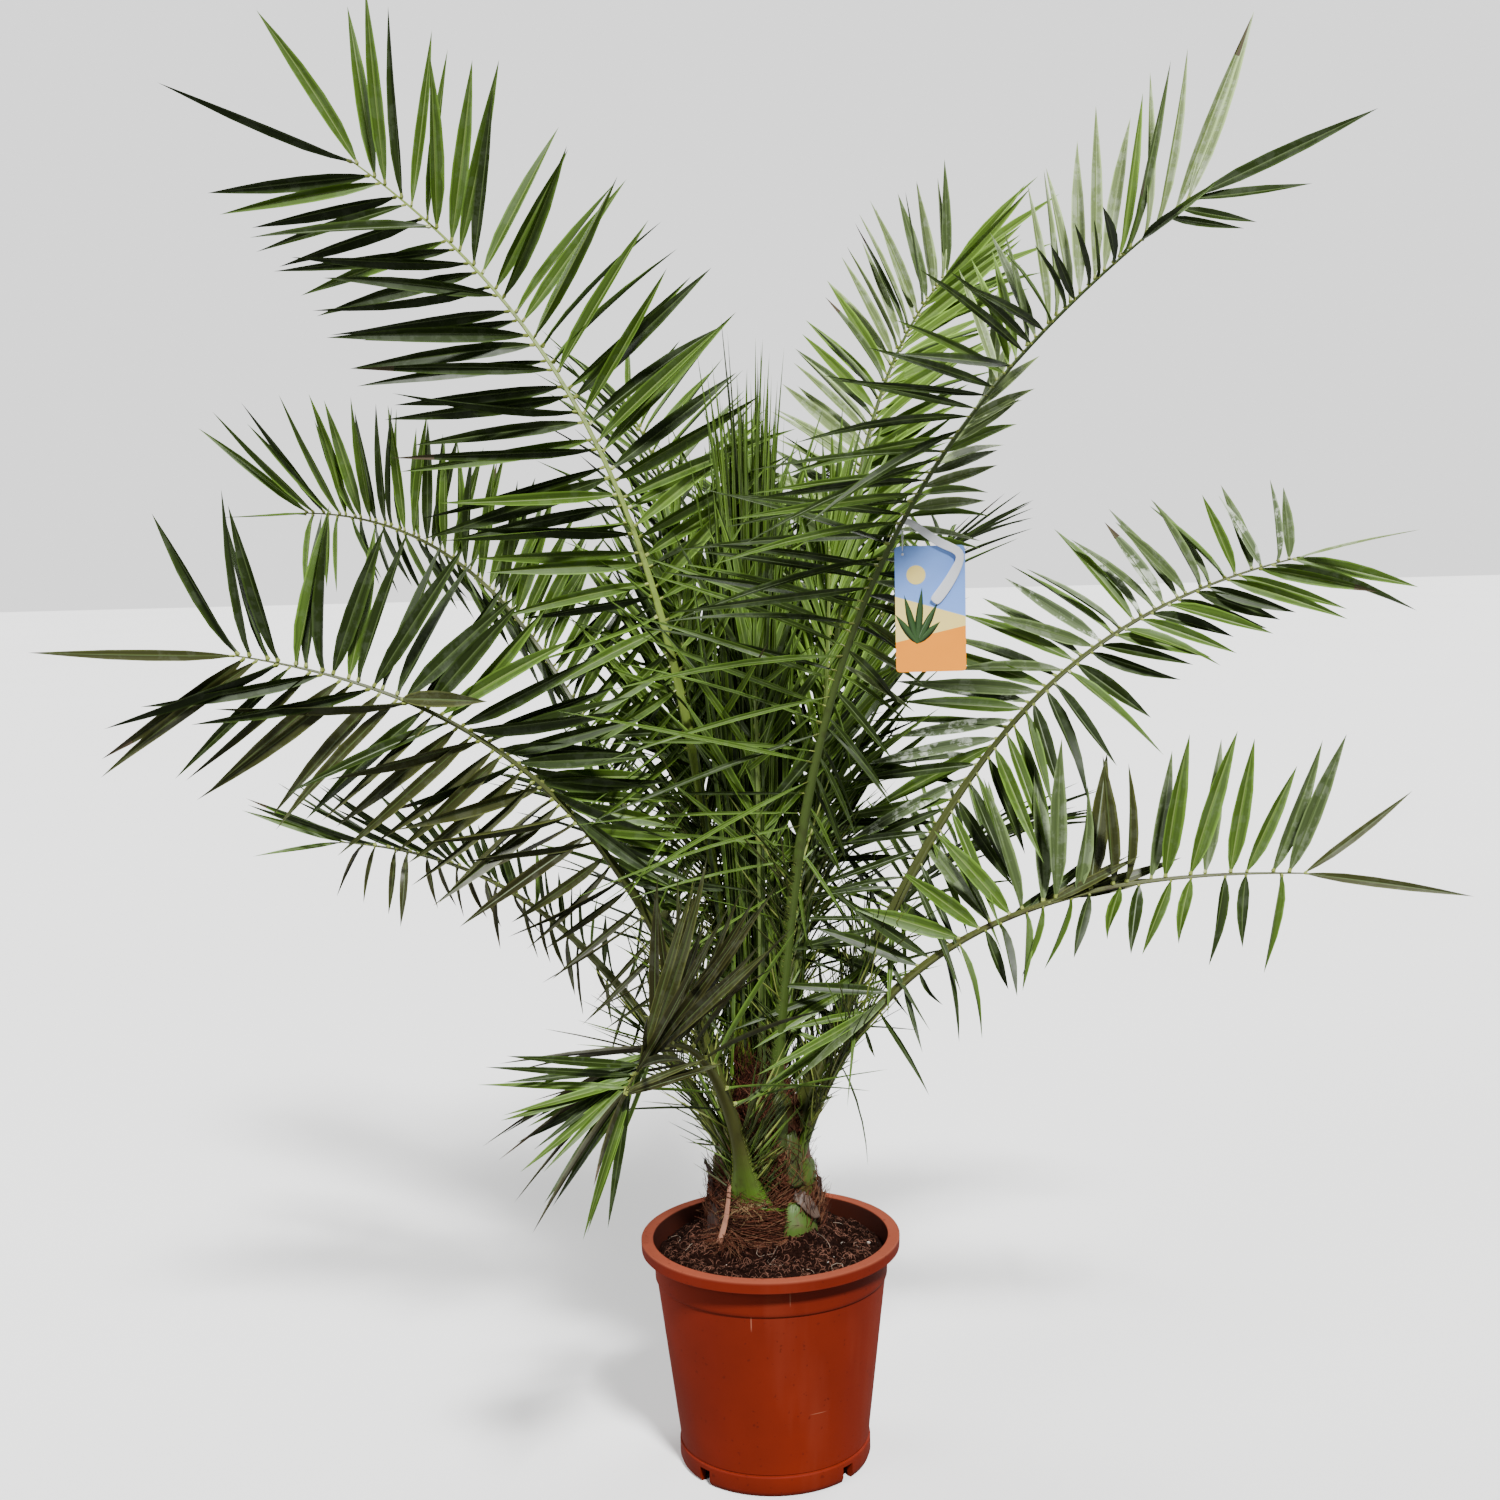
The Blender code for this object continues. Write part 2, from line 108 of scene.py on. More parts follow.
# Fronds, as in the frame
PETIOLE_WIDTH = 0.0112
PETIOLE_FOOT_DEPTH = 0.014
PETIOLE_DEPTH = 0.008
RIB_WIDTH = 0.0058
RIB_TIP_WIDTH = 0.0016
KEEL_CREASE = math.radians(26.0)
BARE_SHARE = 0.28
HANDLE_SHARE = 0.42
FOOT_INSET = 0.006
LEAST_FOOT_RADIUS = 0.012
ROLL_SPAN = (0.15, 0.85)
LEAFLET_SWEEPS = ((0.0, 72.0), (0.5, 62.0), (0.9, 50.0), (1.0, 15.0))


class Fan(NamedTuple):
    """Leaflets crowded on a short stretch of rib; angles are in the front view, from +X."""

    count: int
    start: float
    end: float
    angle_low: float
    angle_high: float
    towards: float
    length: float
    width: float
    tint: str


class Frond(NamedTuple):
    """One frond: where it leaves the stem, where it ends, and how its blade lies.

    tints are those of its two ranks of leaflets, and low_tints those of their lower part. pitch, breadth and girth are shares of the usual
    spacing and width of the leaflets and width of the stalk.
    """

    name: str
    foot_height: float
    foot_turn: float
    turn: float
    launch: float
    reach: float
    top: float
    arrival: float
    leaflet: float
    roll_low: float = 0.0
    roll_high: float = 0.0
    lift: float = 28.0
    skew: float = 0.0
    tints: tuple = ("mid", "mid")
    stalk: str = "green"
    breadth: float = 1.0
    foot_width: float = 0.030
    sheath: float = 0.050
    fans: tuple = ()
    pitch: float = 1.0
    girth: float = 1.0
    low_tints: tuple = ("mid", "deep")


LOW_FRONT_FANS = (
    Fan(13, 0.86, 1.0, 160, 266, 0.25, 0.150, 0.0100, "dusk"),
    Fan(7, 0.82, 0.98, 172, 250, 0.45, 0.135, 0.0095, "mid"),
    Fan(11, 0.70, 0.95, 44, 78, 0.30, 0.205, 0.0130, "umber"),
    Fan(10, 0.62, 0.90, 48, 98, 0.10, 0.180, 0.0115, "umber"),
    Fan(3, 0.95, 1.0, 10, 30, 0.10, 0.090, 0.0095, "umber"),
)
UPPER_RIGHT_FANS = (
    Fan(1, 1.0, 1.0, 23, 25, 0.10, 0.150, 0.0140, "deep"),
    Fan(1, 0.995, 1.0, -1, 1, 0.20, 0.105, 0.0120, "deep"),
)
MID_LEFT_FANS = (
    Fan(1, 1.0, 1.0, 177, 179, 0.10, 0.188, 0.0140, "olive"),
    Fan(1, 0.79, 0.80, -2, 2, 0.30, 0.105, 0.0180, "olive"),
)
LEFT_BACK_FANS = (Fan(1, 1.0, 1.0, 184, 186, 0.10, 0.110, 0.0100, "mid"),)
LOW_LEFT_FANS = (Fan(1, 1.0, 1.0, 186, 188, 0.10, 0.108, 0.0090, "mid"),)
LOW_RIGHT_FANS = (
    Fan(1, 1.0, 1.0, 26, 28, 0.10, 0.180, 0.0110, "olive"),
    Fan(1, 1.0, 1.0, -7, -5, 0.10, 0.178, 0.0110, "olive"),
    Fan(7, 0.52, 0.78, 8, 34, -0.30, 0.120, 0.0120, "olive"),
    Fan(4, 0.22, 0.32, 194, 212, 0.35, 0.190, 0.0130, "soft"),
)
MID_RIGHT_FANS = (
    Fan(1, 1.0, 1.0, 16, 18, 0.0, 0.140, 0.0070, "pale"),
    Fan(4, 0.16, 0.26, 186, 216, 0.55, 0.170, 0.0110, "dusk"),
)


class Rank(NamedTuple):
    """The leaflets down one side of a frond, as the front view shows them.

    rows are (share of the rib, angle from +X in degrees, length seen, lean to the front), and
    every third leaflet turns by cross. breadth widens or narrows them. facing is where their upper
    sides look: to the right and up, against 1 to the front. pitch spaces them out, and curl bends
    and twists them.
    """

    rows: tuple
    cross: float = 0.0
    breadth: float = 1.0
    facing: tuple = (0.0, 0.35)
    pitch: float = 1.0
    curl: float = 0.0


RANKS = {  # frond: the rank on the right of its heading, then the one on its left
    "upper_left": (
        Rank(((0.16, 58, 0.15, 0.4), (0.32, 44, 0.18, 0.4), (0.45, 36, 0.19, 0.3), (0.54, 24, 0.20, 0.2),
              (0.62, 42, 0.20, 0.1), (0.74, 49, 0.195, 0.1), (0.81, 60, 0.185, 0.1), (0.87, 76, 0.19, 0.1),
              (0.94, 84, 0.19, 0.1), (1.0, 112, 0.20, 0.1)), 7, facing=(0.2, 0.0)),
        Rank(((0.16, 236, 0.10, 0.3), (0.36, 214, 0.12, 0.3), (0.50, 177, 0.175, 0.2), (0.58, 193, 0.20, 0.2),
              (0.66, 183, 0.185, 0.1), (0.82, 186, 0.19, 0.1), (0.95, 198, 0.175, 0.1), (1.0, 166, 0.205, 0.1)),
             -9, facing=(-0.4, -0.7)),
    ),
    "upper_right": (
        Rank(((0.16, 172, 0.12, 0.3), (0.28, 177, 0.24, 0.2), (0.46, 160, 0.22, 0.2), (0.56, 165, 0.19, 0.2),
              (0.68, 181, 0.19, 0.3), (0.73, 184, 0.175, 0.4), (0.77, 163, 0.135, 0.6), (0.83, 147, 0.108, 0.9),
              (0.88, 122, 0.055, 1.5), (0.93, 95, 0.05, 1.5), (0.98, -36, 0.05, 1.0), (1.0, 0, 0.06, 0.5)), 17,
             0.75, (0.0, 0.1)),
        Rank(((0.16, -76, 0.07, -0.3), (0.35, -66, 0.10, -0.5), (0.47, -28, 0.09, -0.6), (0.60, 5, 0.085, -0.7),
              (0.70, 27, 0.09, -0.8), (0.75, 44, 0.09, -0.7), (0.78, 100, 0.11, -0.4), (0.83, 105, 0.115, -0.3),
              (0.88, 93, 0.135, -0.2), (0.92, 81, 0.155, -0.1), (0.97, 78, 0.155, -0.1), (1.0, 58, 0.185, 0.0)),
             facing=(0.4, 0.4)),
    ),
    "upper_back": (
        Rank(((0.16, 60, 0.06, 0.3), (0.40, 50, 0.10, 0.3), (0.60, 38, 0.12, 0.3), (0.88, 27, 0.145, 0.2),
              (1.0, 48, 0.165, 0.1)), -9, facing=(0.3, 0.4)),
        Rank(((0.16, 150, 0.06, -0.1), (0.60, 147, 0.12, -0.1), (0.75, 131, 0.12, -0.1), (0.87, 111, 0.14, 0.0),
              (1.0, 94, 0.13, 0.0)), facing=(0.4, 0.6)),
    ),
    "mid_left_back": (
        Rank(((0.16, 38, 0.07, -0.3), (0.50, 56, 0.14, -0.2), (0.70, 81, 0.14, -0.1), (0.88, 94, 0.14, 0.0),
              (0.95, 114, 0.15, 0.0), (1.0, 142, 0.165, 0.0)), -12, 1.2, (-0.2, -0.3), 0.92),
        Rank(((0.16, 255, 0.06, 0.5), (0.40, 292, 0.09, 0.4), (0.80, 303, 0.085, 0.3), (0.93, 286, 0.08, 0.3),
              (1.0, 248, 0.10, 0.1)), 10, 1.0, (-0.4, -0.6), 1.4),
    ),
    "mid_left": (
        Rank(((0.16, -30, 0.08, -0.4), (0.55, -5, 0.13, -0.2), (0.66, 16, 0.15, -0.1), (0.74, 48, 0.16, 0.0),
              (0.82, 63, 0.168, 0.0), (0.93, 92, 0.165, 0.0), (1.0, 114, 0.16, 0.0)), -20, 1.32, (-0.3, -0.4), 0.85),
        Rank(((0.16, 230, 0.08, 0.5), (0.35, 214, 0.11, 0.4), (0.48, 208, 0.14, 0.3), (0.64, 222, 0.15, 0.2),
              (0.85, 221, 0.178, 0.1), (1.0, 216, 0.17, 0.1)), -29, 1.12, (-0.4, -0.9)),
    ),
    "low_left_back": (
        Rank(((0.16, 62, 0.05, -0.2), (0.62, 103, 0.076, -0.1), (0.70, 113, 0.10, 0.0), (0.77, 137, 0.14, 0.1),
              (0.88, 147, 0.15, 0.1), (1.0, 157, 0.135, 0.1)), 5, facing=(-0.3, -0.4)),
        Rank(((0.16, 268, 0.04, 0.3), (0.50, 290, 0.06, 0.3), (0.78, 288, 0.06, 0.2), (0.90, 268, 0.07, 0.2),
              (1.0, 224, 0.075, 0.1)), -8, 1.0, (-0.3, -0.6), 1.5, 0.4),
    ),
    "mid_right": (
        Rank(((0.16, -80, 0.09, 0.5), (0.38, -62, 0.11, 0.5), (0.48, -70, 0.12, 0.5), (0.60, -78, 0.10, 0.5),
              (0.67, -46, 0.11, 0.4), (0.72, -14, 0.105, 0.3), (0.88, -20, 0.105, 0.2), (1.0, -9, 0.15, 0.1)),
             0.0, 1.2, (0.2, -0.15), 1.25, 0.5),
        Rank(((0.16, 160, 0.10, -0.3), (0.35, 184, 0.14, -0.3), (0.52, 184, 0.15, -0.3), (0.62, 163, 0.145, -0.3),
              (0.73, 143, 0.125, -0.2), (0.79, 130, 0.13, -0.2), (0.90, 118, 0.11, -0.1), (0.97, 103, 0.095, 0.0),
              (1.0, 86, 0.075, 0.0)), 15, 1.18, (0.3, 0.3)),
    ),
    "low_right": (
        Rank(((0.16, 300, 0.06, 0.4), (0.52, 290, 0.07, 0.4), (0.60, 255, 0.07, 0.4), (0.70, 238, 0.075, 0.3),
              (0.80, 246, 0.075, 0.3), (0.92, 256, 0.085, 0.2), (1.0, 263, 0.105, 0.1)), 6, 1.0, (0.2, 0.0), 1.75, 1.0),
        Rank(((0.16, 172, 0.10, -0.3), (0.42, 158, 0.13, -0.3), (0.54, 132, 0.12, -0.3), (0.61, 84, 0.15, -0.2),
              (0.80, 78, 0.14, -0.1), (0.91, 73, 0.14, -0.1), (1.0, 56, 0.162, 0.0)), 12, 1.48, (0.3, 0.3), 1.30, 0.3),
    ),
}
# A "deep" tint on a rank paints the shade on leaflets turned from the light.
FRONDS = (
    Frond("upper_left", 0.410, 150, 155, 81, 0.486, 1.434, 35, 0.25, 52, 52, 2, 8,
          ("mid", "deep"), "bright", 1.04, pitch=1.06, low_tints=("fresh", "mid")),
    Frond("upper_right", 0.400, -50, -42, 83, 0.525, 1.28, 29, 0.21, 0, -50, 10, 0,
          ("deep", "pale"), "green", 0.74, 0.022, fans=UPPER_RIGHT_FANS, pitch=0.78, girth=1.25, low_tints=("mid", "deep")),
    Frond("upper_back", 0.410, 45, 57, 68, 0.485, 1.325, 30, 0.18,
          tints=("fresh", "pale"), breadth=0.88, pitch=0.80, low_tints=("fresh", "fresh")),
    Frond("mid_left_back", 0.360, 155, 148, 70, 0.64, 1.04, 2, 0.20, 30, 50, 15, 10,
          ("mid", "deep"), "olive", 0.72, fans=LEFT_BACK_FANS, pitch=0.72),
    Frond("mid_left", 0.360, 198, 192, 75, 0.531, 0.892, 11, 0.22, 45, 62, 10, 16,
          ("deep", "olive"), "olive", 0.86, fans=MID_LEFT_FANS, pitch=0.82, girth=1.1, low_tints=("dusk", "umber")),
    Frond("low_left_back", 0.330, 172, 150, 62, 0.59, 0.636, 0, 0.14, 20, 40, 5, 0,
          ("deep", "umber"), "olive", 0.62, fans=LOW_LEFT_FANS, pitch=0.9, low_tints=("deep", "umber")),
    Frond("low_front", 0.285, -112, -113, 82, 0.33, 0.485, -35, 0.18, 0, -45, 10, 0,
          ("umber", "umber"), "front", 0.6, 0.060, 0.006, LOW_FRONT_FANS, 1.5, 1.4),
    Frond("mid_right", 0.360, 0, 12, 65, 0.632, 0.959, 11, 0.17, -30, -35, 5, 0,
          ("dusk", "grey"), "olive", 0.84, fans=MID_RIGHT_FANS, pitch=0.82, girth=1.2, low_tints=("deep", "deep")),
    Frond("low_right", 0.330, -20, -8, 72, 0.573, 0.637, -1, 0.17, -10, -60, 5, 12,
          ("dusk", "soft"), "scaled", 0.84, 0.040, 0.075, LOW_RIGHT_FANS, 0.82, 1.2, ("deep", "dusk")),
    Frond("back_right", 0.375, 62, 58, 74, 0.50, 0.98, 10, 0.17, tints=("deep", "mid"), breadth=0.55),
    Frond("back", 0.360, 92, 90, 74, 0.54, 1.04, 4, 0.18, tints=("deep", "mid"), breadth=0.60),
    Frond("back_left", 0.385, 118, 112, 80, 0.40, 1.17, 32, 0.18, tints=("mid", "mid"), breadth=0.60),
    Frond("low_back_right", 0.330, 50, 46, 56, 0.48, 0.62, -5, 0.16, tints=("deep", "deep"), breadth=0.55),
    Frond("low_back", 0.320, 85, 82, 58, 0.52, 0.58, -12, 0.17, tints=("deep", "deep"), breadth=0.60),
    Frond("low_back_left", 0.340, 125, 118, 56, 0.52, 0.66, -5, 0.16, tints=("deep", "deep"), breadth=0.55),
)


class Husk(NamedTuple):
    """A plate that hugs the stem: an old leaf's foot, a torn scale or a strip of bark.

    widths and stands are (share of the height, value) pairs: its width, and how far its middle
    stands off the stem.
    """

    name: str
    turn: float
    bottom: float
    top: float
    widths: tuple
    stands: tuple
    thickness: float
    finish: str
    torn: float = 0.004
    lean: float = 0.0
    node: bool = False
    bow: float = 0.0


FOOT_WIDTHS = ((0.0, 0.050), (0.3, 0.047), (0.7, 0.036), (1.0, 0.020))
FOOT_STANDS = ((0.0, 0.001), (0.5, 0.002), (1.0, 0.001))
HUSKS = (
    Husk("leaf_base_front_right", -52, 0.2385, 0.288, ((0.0, 0.048), (0.4, 0.046), (0.8, 0.036), (1.0, 0.022)),
         ((0.0, 0.003), (0.5, 0.005), (1.0, 0.002)), 0.009, "green", 0.003, 0.0, True),
    Husk("leaf_base_left", 206, 0.2385, 0.300, FOOT_WIDTHS, FOOT_STANDS, 0.005, "dark", 0.012, 0.0, True),
    Husk("leaf_base_back", 108, 0.2385, 0.300, FOOT_WIDTHS, FOOT_STANDS, 0.006, "green", 0.004, 0.0, True),
    Husk("leaf_base_right", 24, 0.2385, 0.300, FOOT_WIDTHS, FOOT_STANDS, 0.005, "dark", 0.012, 0.0, True),
    Husk("husk_flap", -40, 0.268, 0.300, ((0.0, 0.010), (0.3, 0.019), (0.7, 0.021), (1.0, 0.012)),
         ((0.0, 0.015), (0.5, 0.011), (1.0, 0.004)), 0.0010, "flap", 0.014, -12.0),
    Husk("husk_strip", -131, 0.246, 0.316, ((0.0, 0.0085), (0.5, 0.0060), (1.0, 0.0045)),
         ((0.0, 0.016), (0.4, 0.009), (1.0, 0.004)), 0.0010, "pink", 0.002, -2.0, False, 3.0),
    Husk("husk_scale_left", 190, 0.286, 0.330, ((0.0, 0.020), (0.6, 0.016), (1.0, 0.004)),
         ((0.0, 0.003), (0.6, 0.010), (1.0, 0.019)), 0.0018, "dark", 0.010, 6.0),
    Husk("husk_scale_right", -14, 0.262, 0.305, ((0.0, 0.020), (0.6, 0.016), (1.0, 0.005)),
         ((0.0, 0.002), (0.6, 0.007), (1.0, 0.012)), 0.0018, "dark", 0.008, -5.0),
    Husk("husk_scale_back", 60, 0.262, 0.325, ((0.0, 0.026), (0.6, 0.020), (1.0, 0.006)),
         ((0.0, 0.002), (0.6, 0.005), (1.0, 0.010)), 0.0018, "dark", 0.008, 3.0),
    Husk("husk_scale_back_left", 150, 0.262, 0.320, ((0.0, 0.024), (0.6, 0.018), (1.0, 0.005)),
         ((0.0, 0.002), (0.6, 0.006), (1.0, 0.012)), 0.0018, "dried", 0.008, -4.0),
    Husk("husk_green_right", -52, 0.302, 0.362, ((0.0, 0.022), (0.5, 0.026), (1.0, 0.012)),
         ((0.0, 0.002), (0.5, 0.004), (1.0, 0.006)), 0.0030, "scaly", 0.006, 3.0),
    Husk("husk_green_upper", -66, 0.345, 0.398, ((0.0, 0.014), (0.5, 0.018), (1.0, 0.006)),
         ((0.0, 0.002), (0.5, 0.006), (1.0, 0.010)), 0.0026, "scaly", 0.006, 4.0),
    Husk("husk_green_left", -128, 0.330, 0.385, ((0.0, 0.012), (0.5, 0.014), (1.0, 0.006)),
         ((0.0, 0.002), (0.5, 0.004), (1.0, 0.008)), 0.0026, "scaly", 0.006, -4.0),
)

# Hanging card
TAG_WIDTH = 0.070
TAG_HEIGHT = 0.125
TAG_THICKNESS = 0.0008
TAG_CORNER = 0.004

# Camera at the photograph's viewing angle
CAMERA_PLACE = (-0.009, -2.0, 1.002)
CAMERA_DROP = 6.47
CAMERA_ROLL = -1.43
CAMERA_LENS = 45.86
CAMERA_SENSOR = 36.0
BACKDROP_STRENGTH = 1.6


# Numbers and directions


def interpolate(pairs, x):
    """Value at x of the straight runs through (x, value) pairs."""
    xs, values = zip(*pairs)
    return float(np.interp(x, xs, values))


def direction(turn, rise):
    a, e = math.radians(turn), math.radians(rise)
    return Vector((math.cos(a) * math.cos(e), math.sin(a) * math.cos(e), math.sin(e)))


def seeded(number):
    return np.random.default_rng(number)


def stem_radius(height):
    return interpolate([(SOIL_HEIGHT + h, r) for h, r in STEM_SHAPE] + [(STEM_TOP, 0.0)], height)


# Modelling


def deselect():
    active = bpy.context.view_layer.objects.active
    if active is not None and active.mode != "OBJECT":
        bpy.ops.object.mode_set(mode="OBJECT")
    bpy.ops.object.select_all(action="DESELECT")


def pick(thing):
    deselect()
    thing.select_set(True)
    bpy.context.view_layer.objects.active = thing


def place_selected(thing, places):
    """Moves the selected vertices, in their order, to places."""
    mesh = bmesh.from_edit_mesh(thing.data)
    for vertex, place in zip((v for v in mesh.verts if v.select), places):
        vertex.co = place
    bmesh.update_edit_mesh(thing.data)


def run_pattern(mesh, count, sides):
    """Pattern coordinates: the first runs round each ring, the second along the rings."""
    layer = mesh.uv_layers.active or mesh.uv_layers.new(name="UVMap")
    corners = np.empty(len(mesh.loops), dtype=int)
    mesh.loops.foreach_get("vertex_index", corners)
    rows, columns = np.divmod(corners, sides)
    for face in mesh.polygons:
        span = slice(face.loop_start, face.loop_start + face.loop_total)
        if np.ptp(columns[span]) > 1 and face.loop_total == 4:
            columns[span][columns[span] == 0] = sides
    pattern = np.stack((columns / sides, rows / (count - 1)), axis=1)
    layer.data.foreach_set("uv", pattern.astype(np.float32).ravel())


def extruded(name, rings):
    """A circle primitive, extruded from ring to ring.

    rings holds the corners of each ring in turn. A ring that shrinks to one place closes an end.
    """
    rings = np.asarray(rings, dtype=float)
    count, sides, _ = rings.shape
    deselect()
    bpy.ops.mesh.primitive_circle_add(vertices=sides, radius=1.0, fill_type="NGON")
    thing = bpy.context.active_object
    thing.name = name
    bpy.ops.object.mode_set(mode="EDIT")
    place_selected(thing, rings[0])
    for ring in rings[1:]:
        bpy.ops.mesh.extrude_region_move()
        place_selected(thing, ring)
    bpy.ops.object.mode_set(mode="OBJECT")
    run_pattern(thing.data, count, sides)
    bpy.ops.object.mode_set(mode="EDIT")
    bpy.ops.mesh.select_all(action="SELECT")
    bpy.ops.mesh.remove_doubles(threshold=MERGE)
    bpy.ops.mesh.normals_make_consistent(inside=False)
    bpy.ops.object.mode_set(mode="OBJECT")
    bpy.ops.object.shade_smooth()
    return thing


def round_rings(section, steps):
    """Rings of a turned form through (radius, height) points."""
    turns = np.arange(steps) * (math.tau / steps)
    return np.array([
        [(r * math.cos(a), r * math.sin(a), z) for a in turns] for r, z in section
    ])


def apply_modifier(thing, kind, name, **settings):
    pick(thing)
    modifier = thing.modifiers.new(name, kind)
    for key, value in settings.items():
        setattr(modifier, key, value)
    bpy.ops.object.modifier_apply(modifier=name)


def settle(thing, materials, replaced=()):
    """Gives a finished piece its place in its mesh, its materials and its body."""
    pick(thing)
    bpy.ops.object.transform_apply(location=True, rotation=True, scale=True)
    if not thing.data.materials:
        for material in materials:
            thing.data.materials.append(material)
    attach(thing, BODY)
    if replaced:
        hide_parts(*replaced)
    return thing


class Shape(NamedTuple):
    """One small shape that is repeated: its vertices, corners, faces, patterns and face kinds."""

    points: np.ndarray
    corners: np.ndarray
    starts: np.ndarray
    uvs: np.ndarray
    kinds: np.ndarray


def read_shape(thing, kind_of_face):
    """Reads a modelled shape, and removes its object. kind_of_face(u, v) tells faces apart."""
    mesh = thing.data
    points = np.empty(len(mesh.vertices) * 3)
    mesh.vertices.foreach_get("co", points)
    corners = np.empty(len(mesh.loops), dtype=int)
    mesh.loops.foreach_get("vertex_index", corners)
    starts = np.empty(len(mesh.polygons), dtype=int)
    mesh.polygons.foreach_get("loop_start", starts)
    uvs = np.empty(len(mesh.loops) * 2)
    mesh.uv_layers.active.data.foreach_get("uv", uvs)
    uvs = uvs.reshape(-1, 2)
    ends = np.append(starts[1:], len(corners))
    kinds = np.array([kind_of_face(*uvs[a:b].mean(axis=0)) for a, b in zip(starts, ends)])
    bpy.data.objects.remove(thing)
    return Shape(points.reshape(-1, 3), corners, starts, uvs, kinds)


class Heap:
    """Copies of small shapes, joined into one mesh."""

    def __init__(self):
        self.parts = []
        self.vertex_count = 0
        self.corner_count = 0

    def add(self, shape, points, slots):
        """One copy with its own vertices; slots gives the material slot of each kind of face."""
        slots = np.asarray(slots)
        self.parts.append((
            points,
            shape.corners + self.vertex_count,
            shape.starts + self.corner_count,
            shape.uvs,
            slots[shape.kinds],
        ))
        self.vertex_count += len(points)
        self.corner_count += len(shape.corners)

    def build(self, name, materials, crease=math.pi):
        """One mesh of all the copies; edges sharper than crease are shaded as edges."""
        points, corners, starts, uvs, slots = (
            np.concatenate([part[i] for part in self.parts]) for i in range(5)
        )
        mesh = bpy.data.meshes.new(name)
        mesh.vertices.add(len(points))
        mesh.loops.add(len(corners))
        mesh.polygons.add(len(starts))
        mesh.vertices.foreach_set("co", points.astype(np.float32).ravel())
        mesh.loops.foreach_set("vertex_index", corners.astype(np.int32))
        mesh.polygons.foreach_set("loop_start", starts.astype(np.int32))
        mesh.polygons.foreach_set("material_index", slots.astype(np.int32))
        mesh.uv_layers.new(name="UVMap")
        mesh.uv_layers.active.data.foreach_set("uv", uvs.astype(np.float32).ravel())
        mesh.update(calc_edges=True)
        mesh.shade_smooth()
        mesh.set_sharp_from_angle(angle=crease)
        for material in materials:
            mesh.materials.append(material)
        thing = bpy.data.objects.new(name, mesh)
        bpy.context.scene.collection.objects.link(thing)
        return thing


# Shader nodes


class Value:
    """A number that a socket gives. Arithmetic on it adds Math nodes."""

    def __init__(self, tree, socket):
        self.tree = tree
        self.socket = socket

    def math(self, operation, first, second=None):
        node = self.tree.nodes.new("ShaderNodeMath")
        node.operation = operation
        for slot, operand in enumerate((first, second)):
            if isinstance(operand, Value):
                self.tree.links.new(operand.socket, node.inputs[slot])
            elif operand is not None:
                node.inputs[slot].default_value = operand
        return Value(self.tree, node.outputs[0])

    def __add__(self, other):
        return self.math("ADD", self, other)

    def __radd__(self, other):
        return self.math("ADD", other, self)

    def __sub__(self, other):
        return self.math("SUBTRACT", self, other)

    def __rsub__(self, other):
        return self.math("SUBTRACT", other, self)

    def __mul__(self, other):
        return self.math("MULTIPLY", self, other)

    def __rmul__(self, other):
        return self.math("MULTIPLY", other, self)

    def __pow__(self, other):
        return self.math("POWER", self, other)

    def sine(self):
        return self.math("SINE", self)

    def size(self):
        return self.math("ABSOLUTE", self)

    def clamped(self):
        return self.math("MINIMUM", self.math("MAXIMUM", self, 0.0), 1.0)


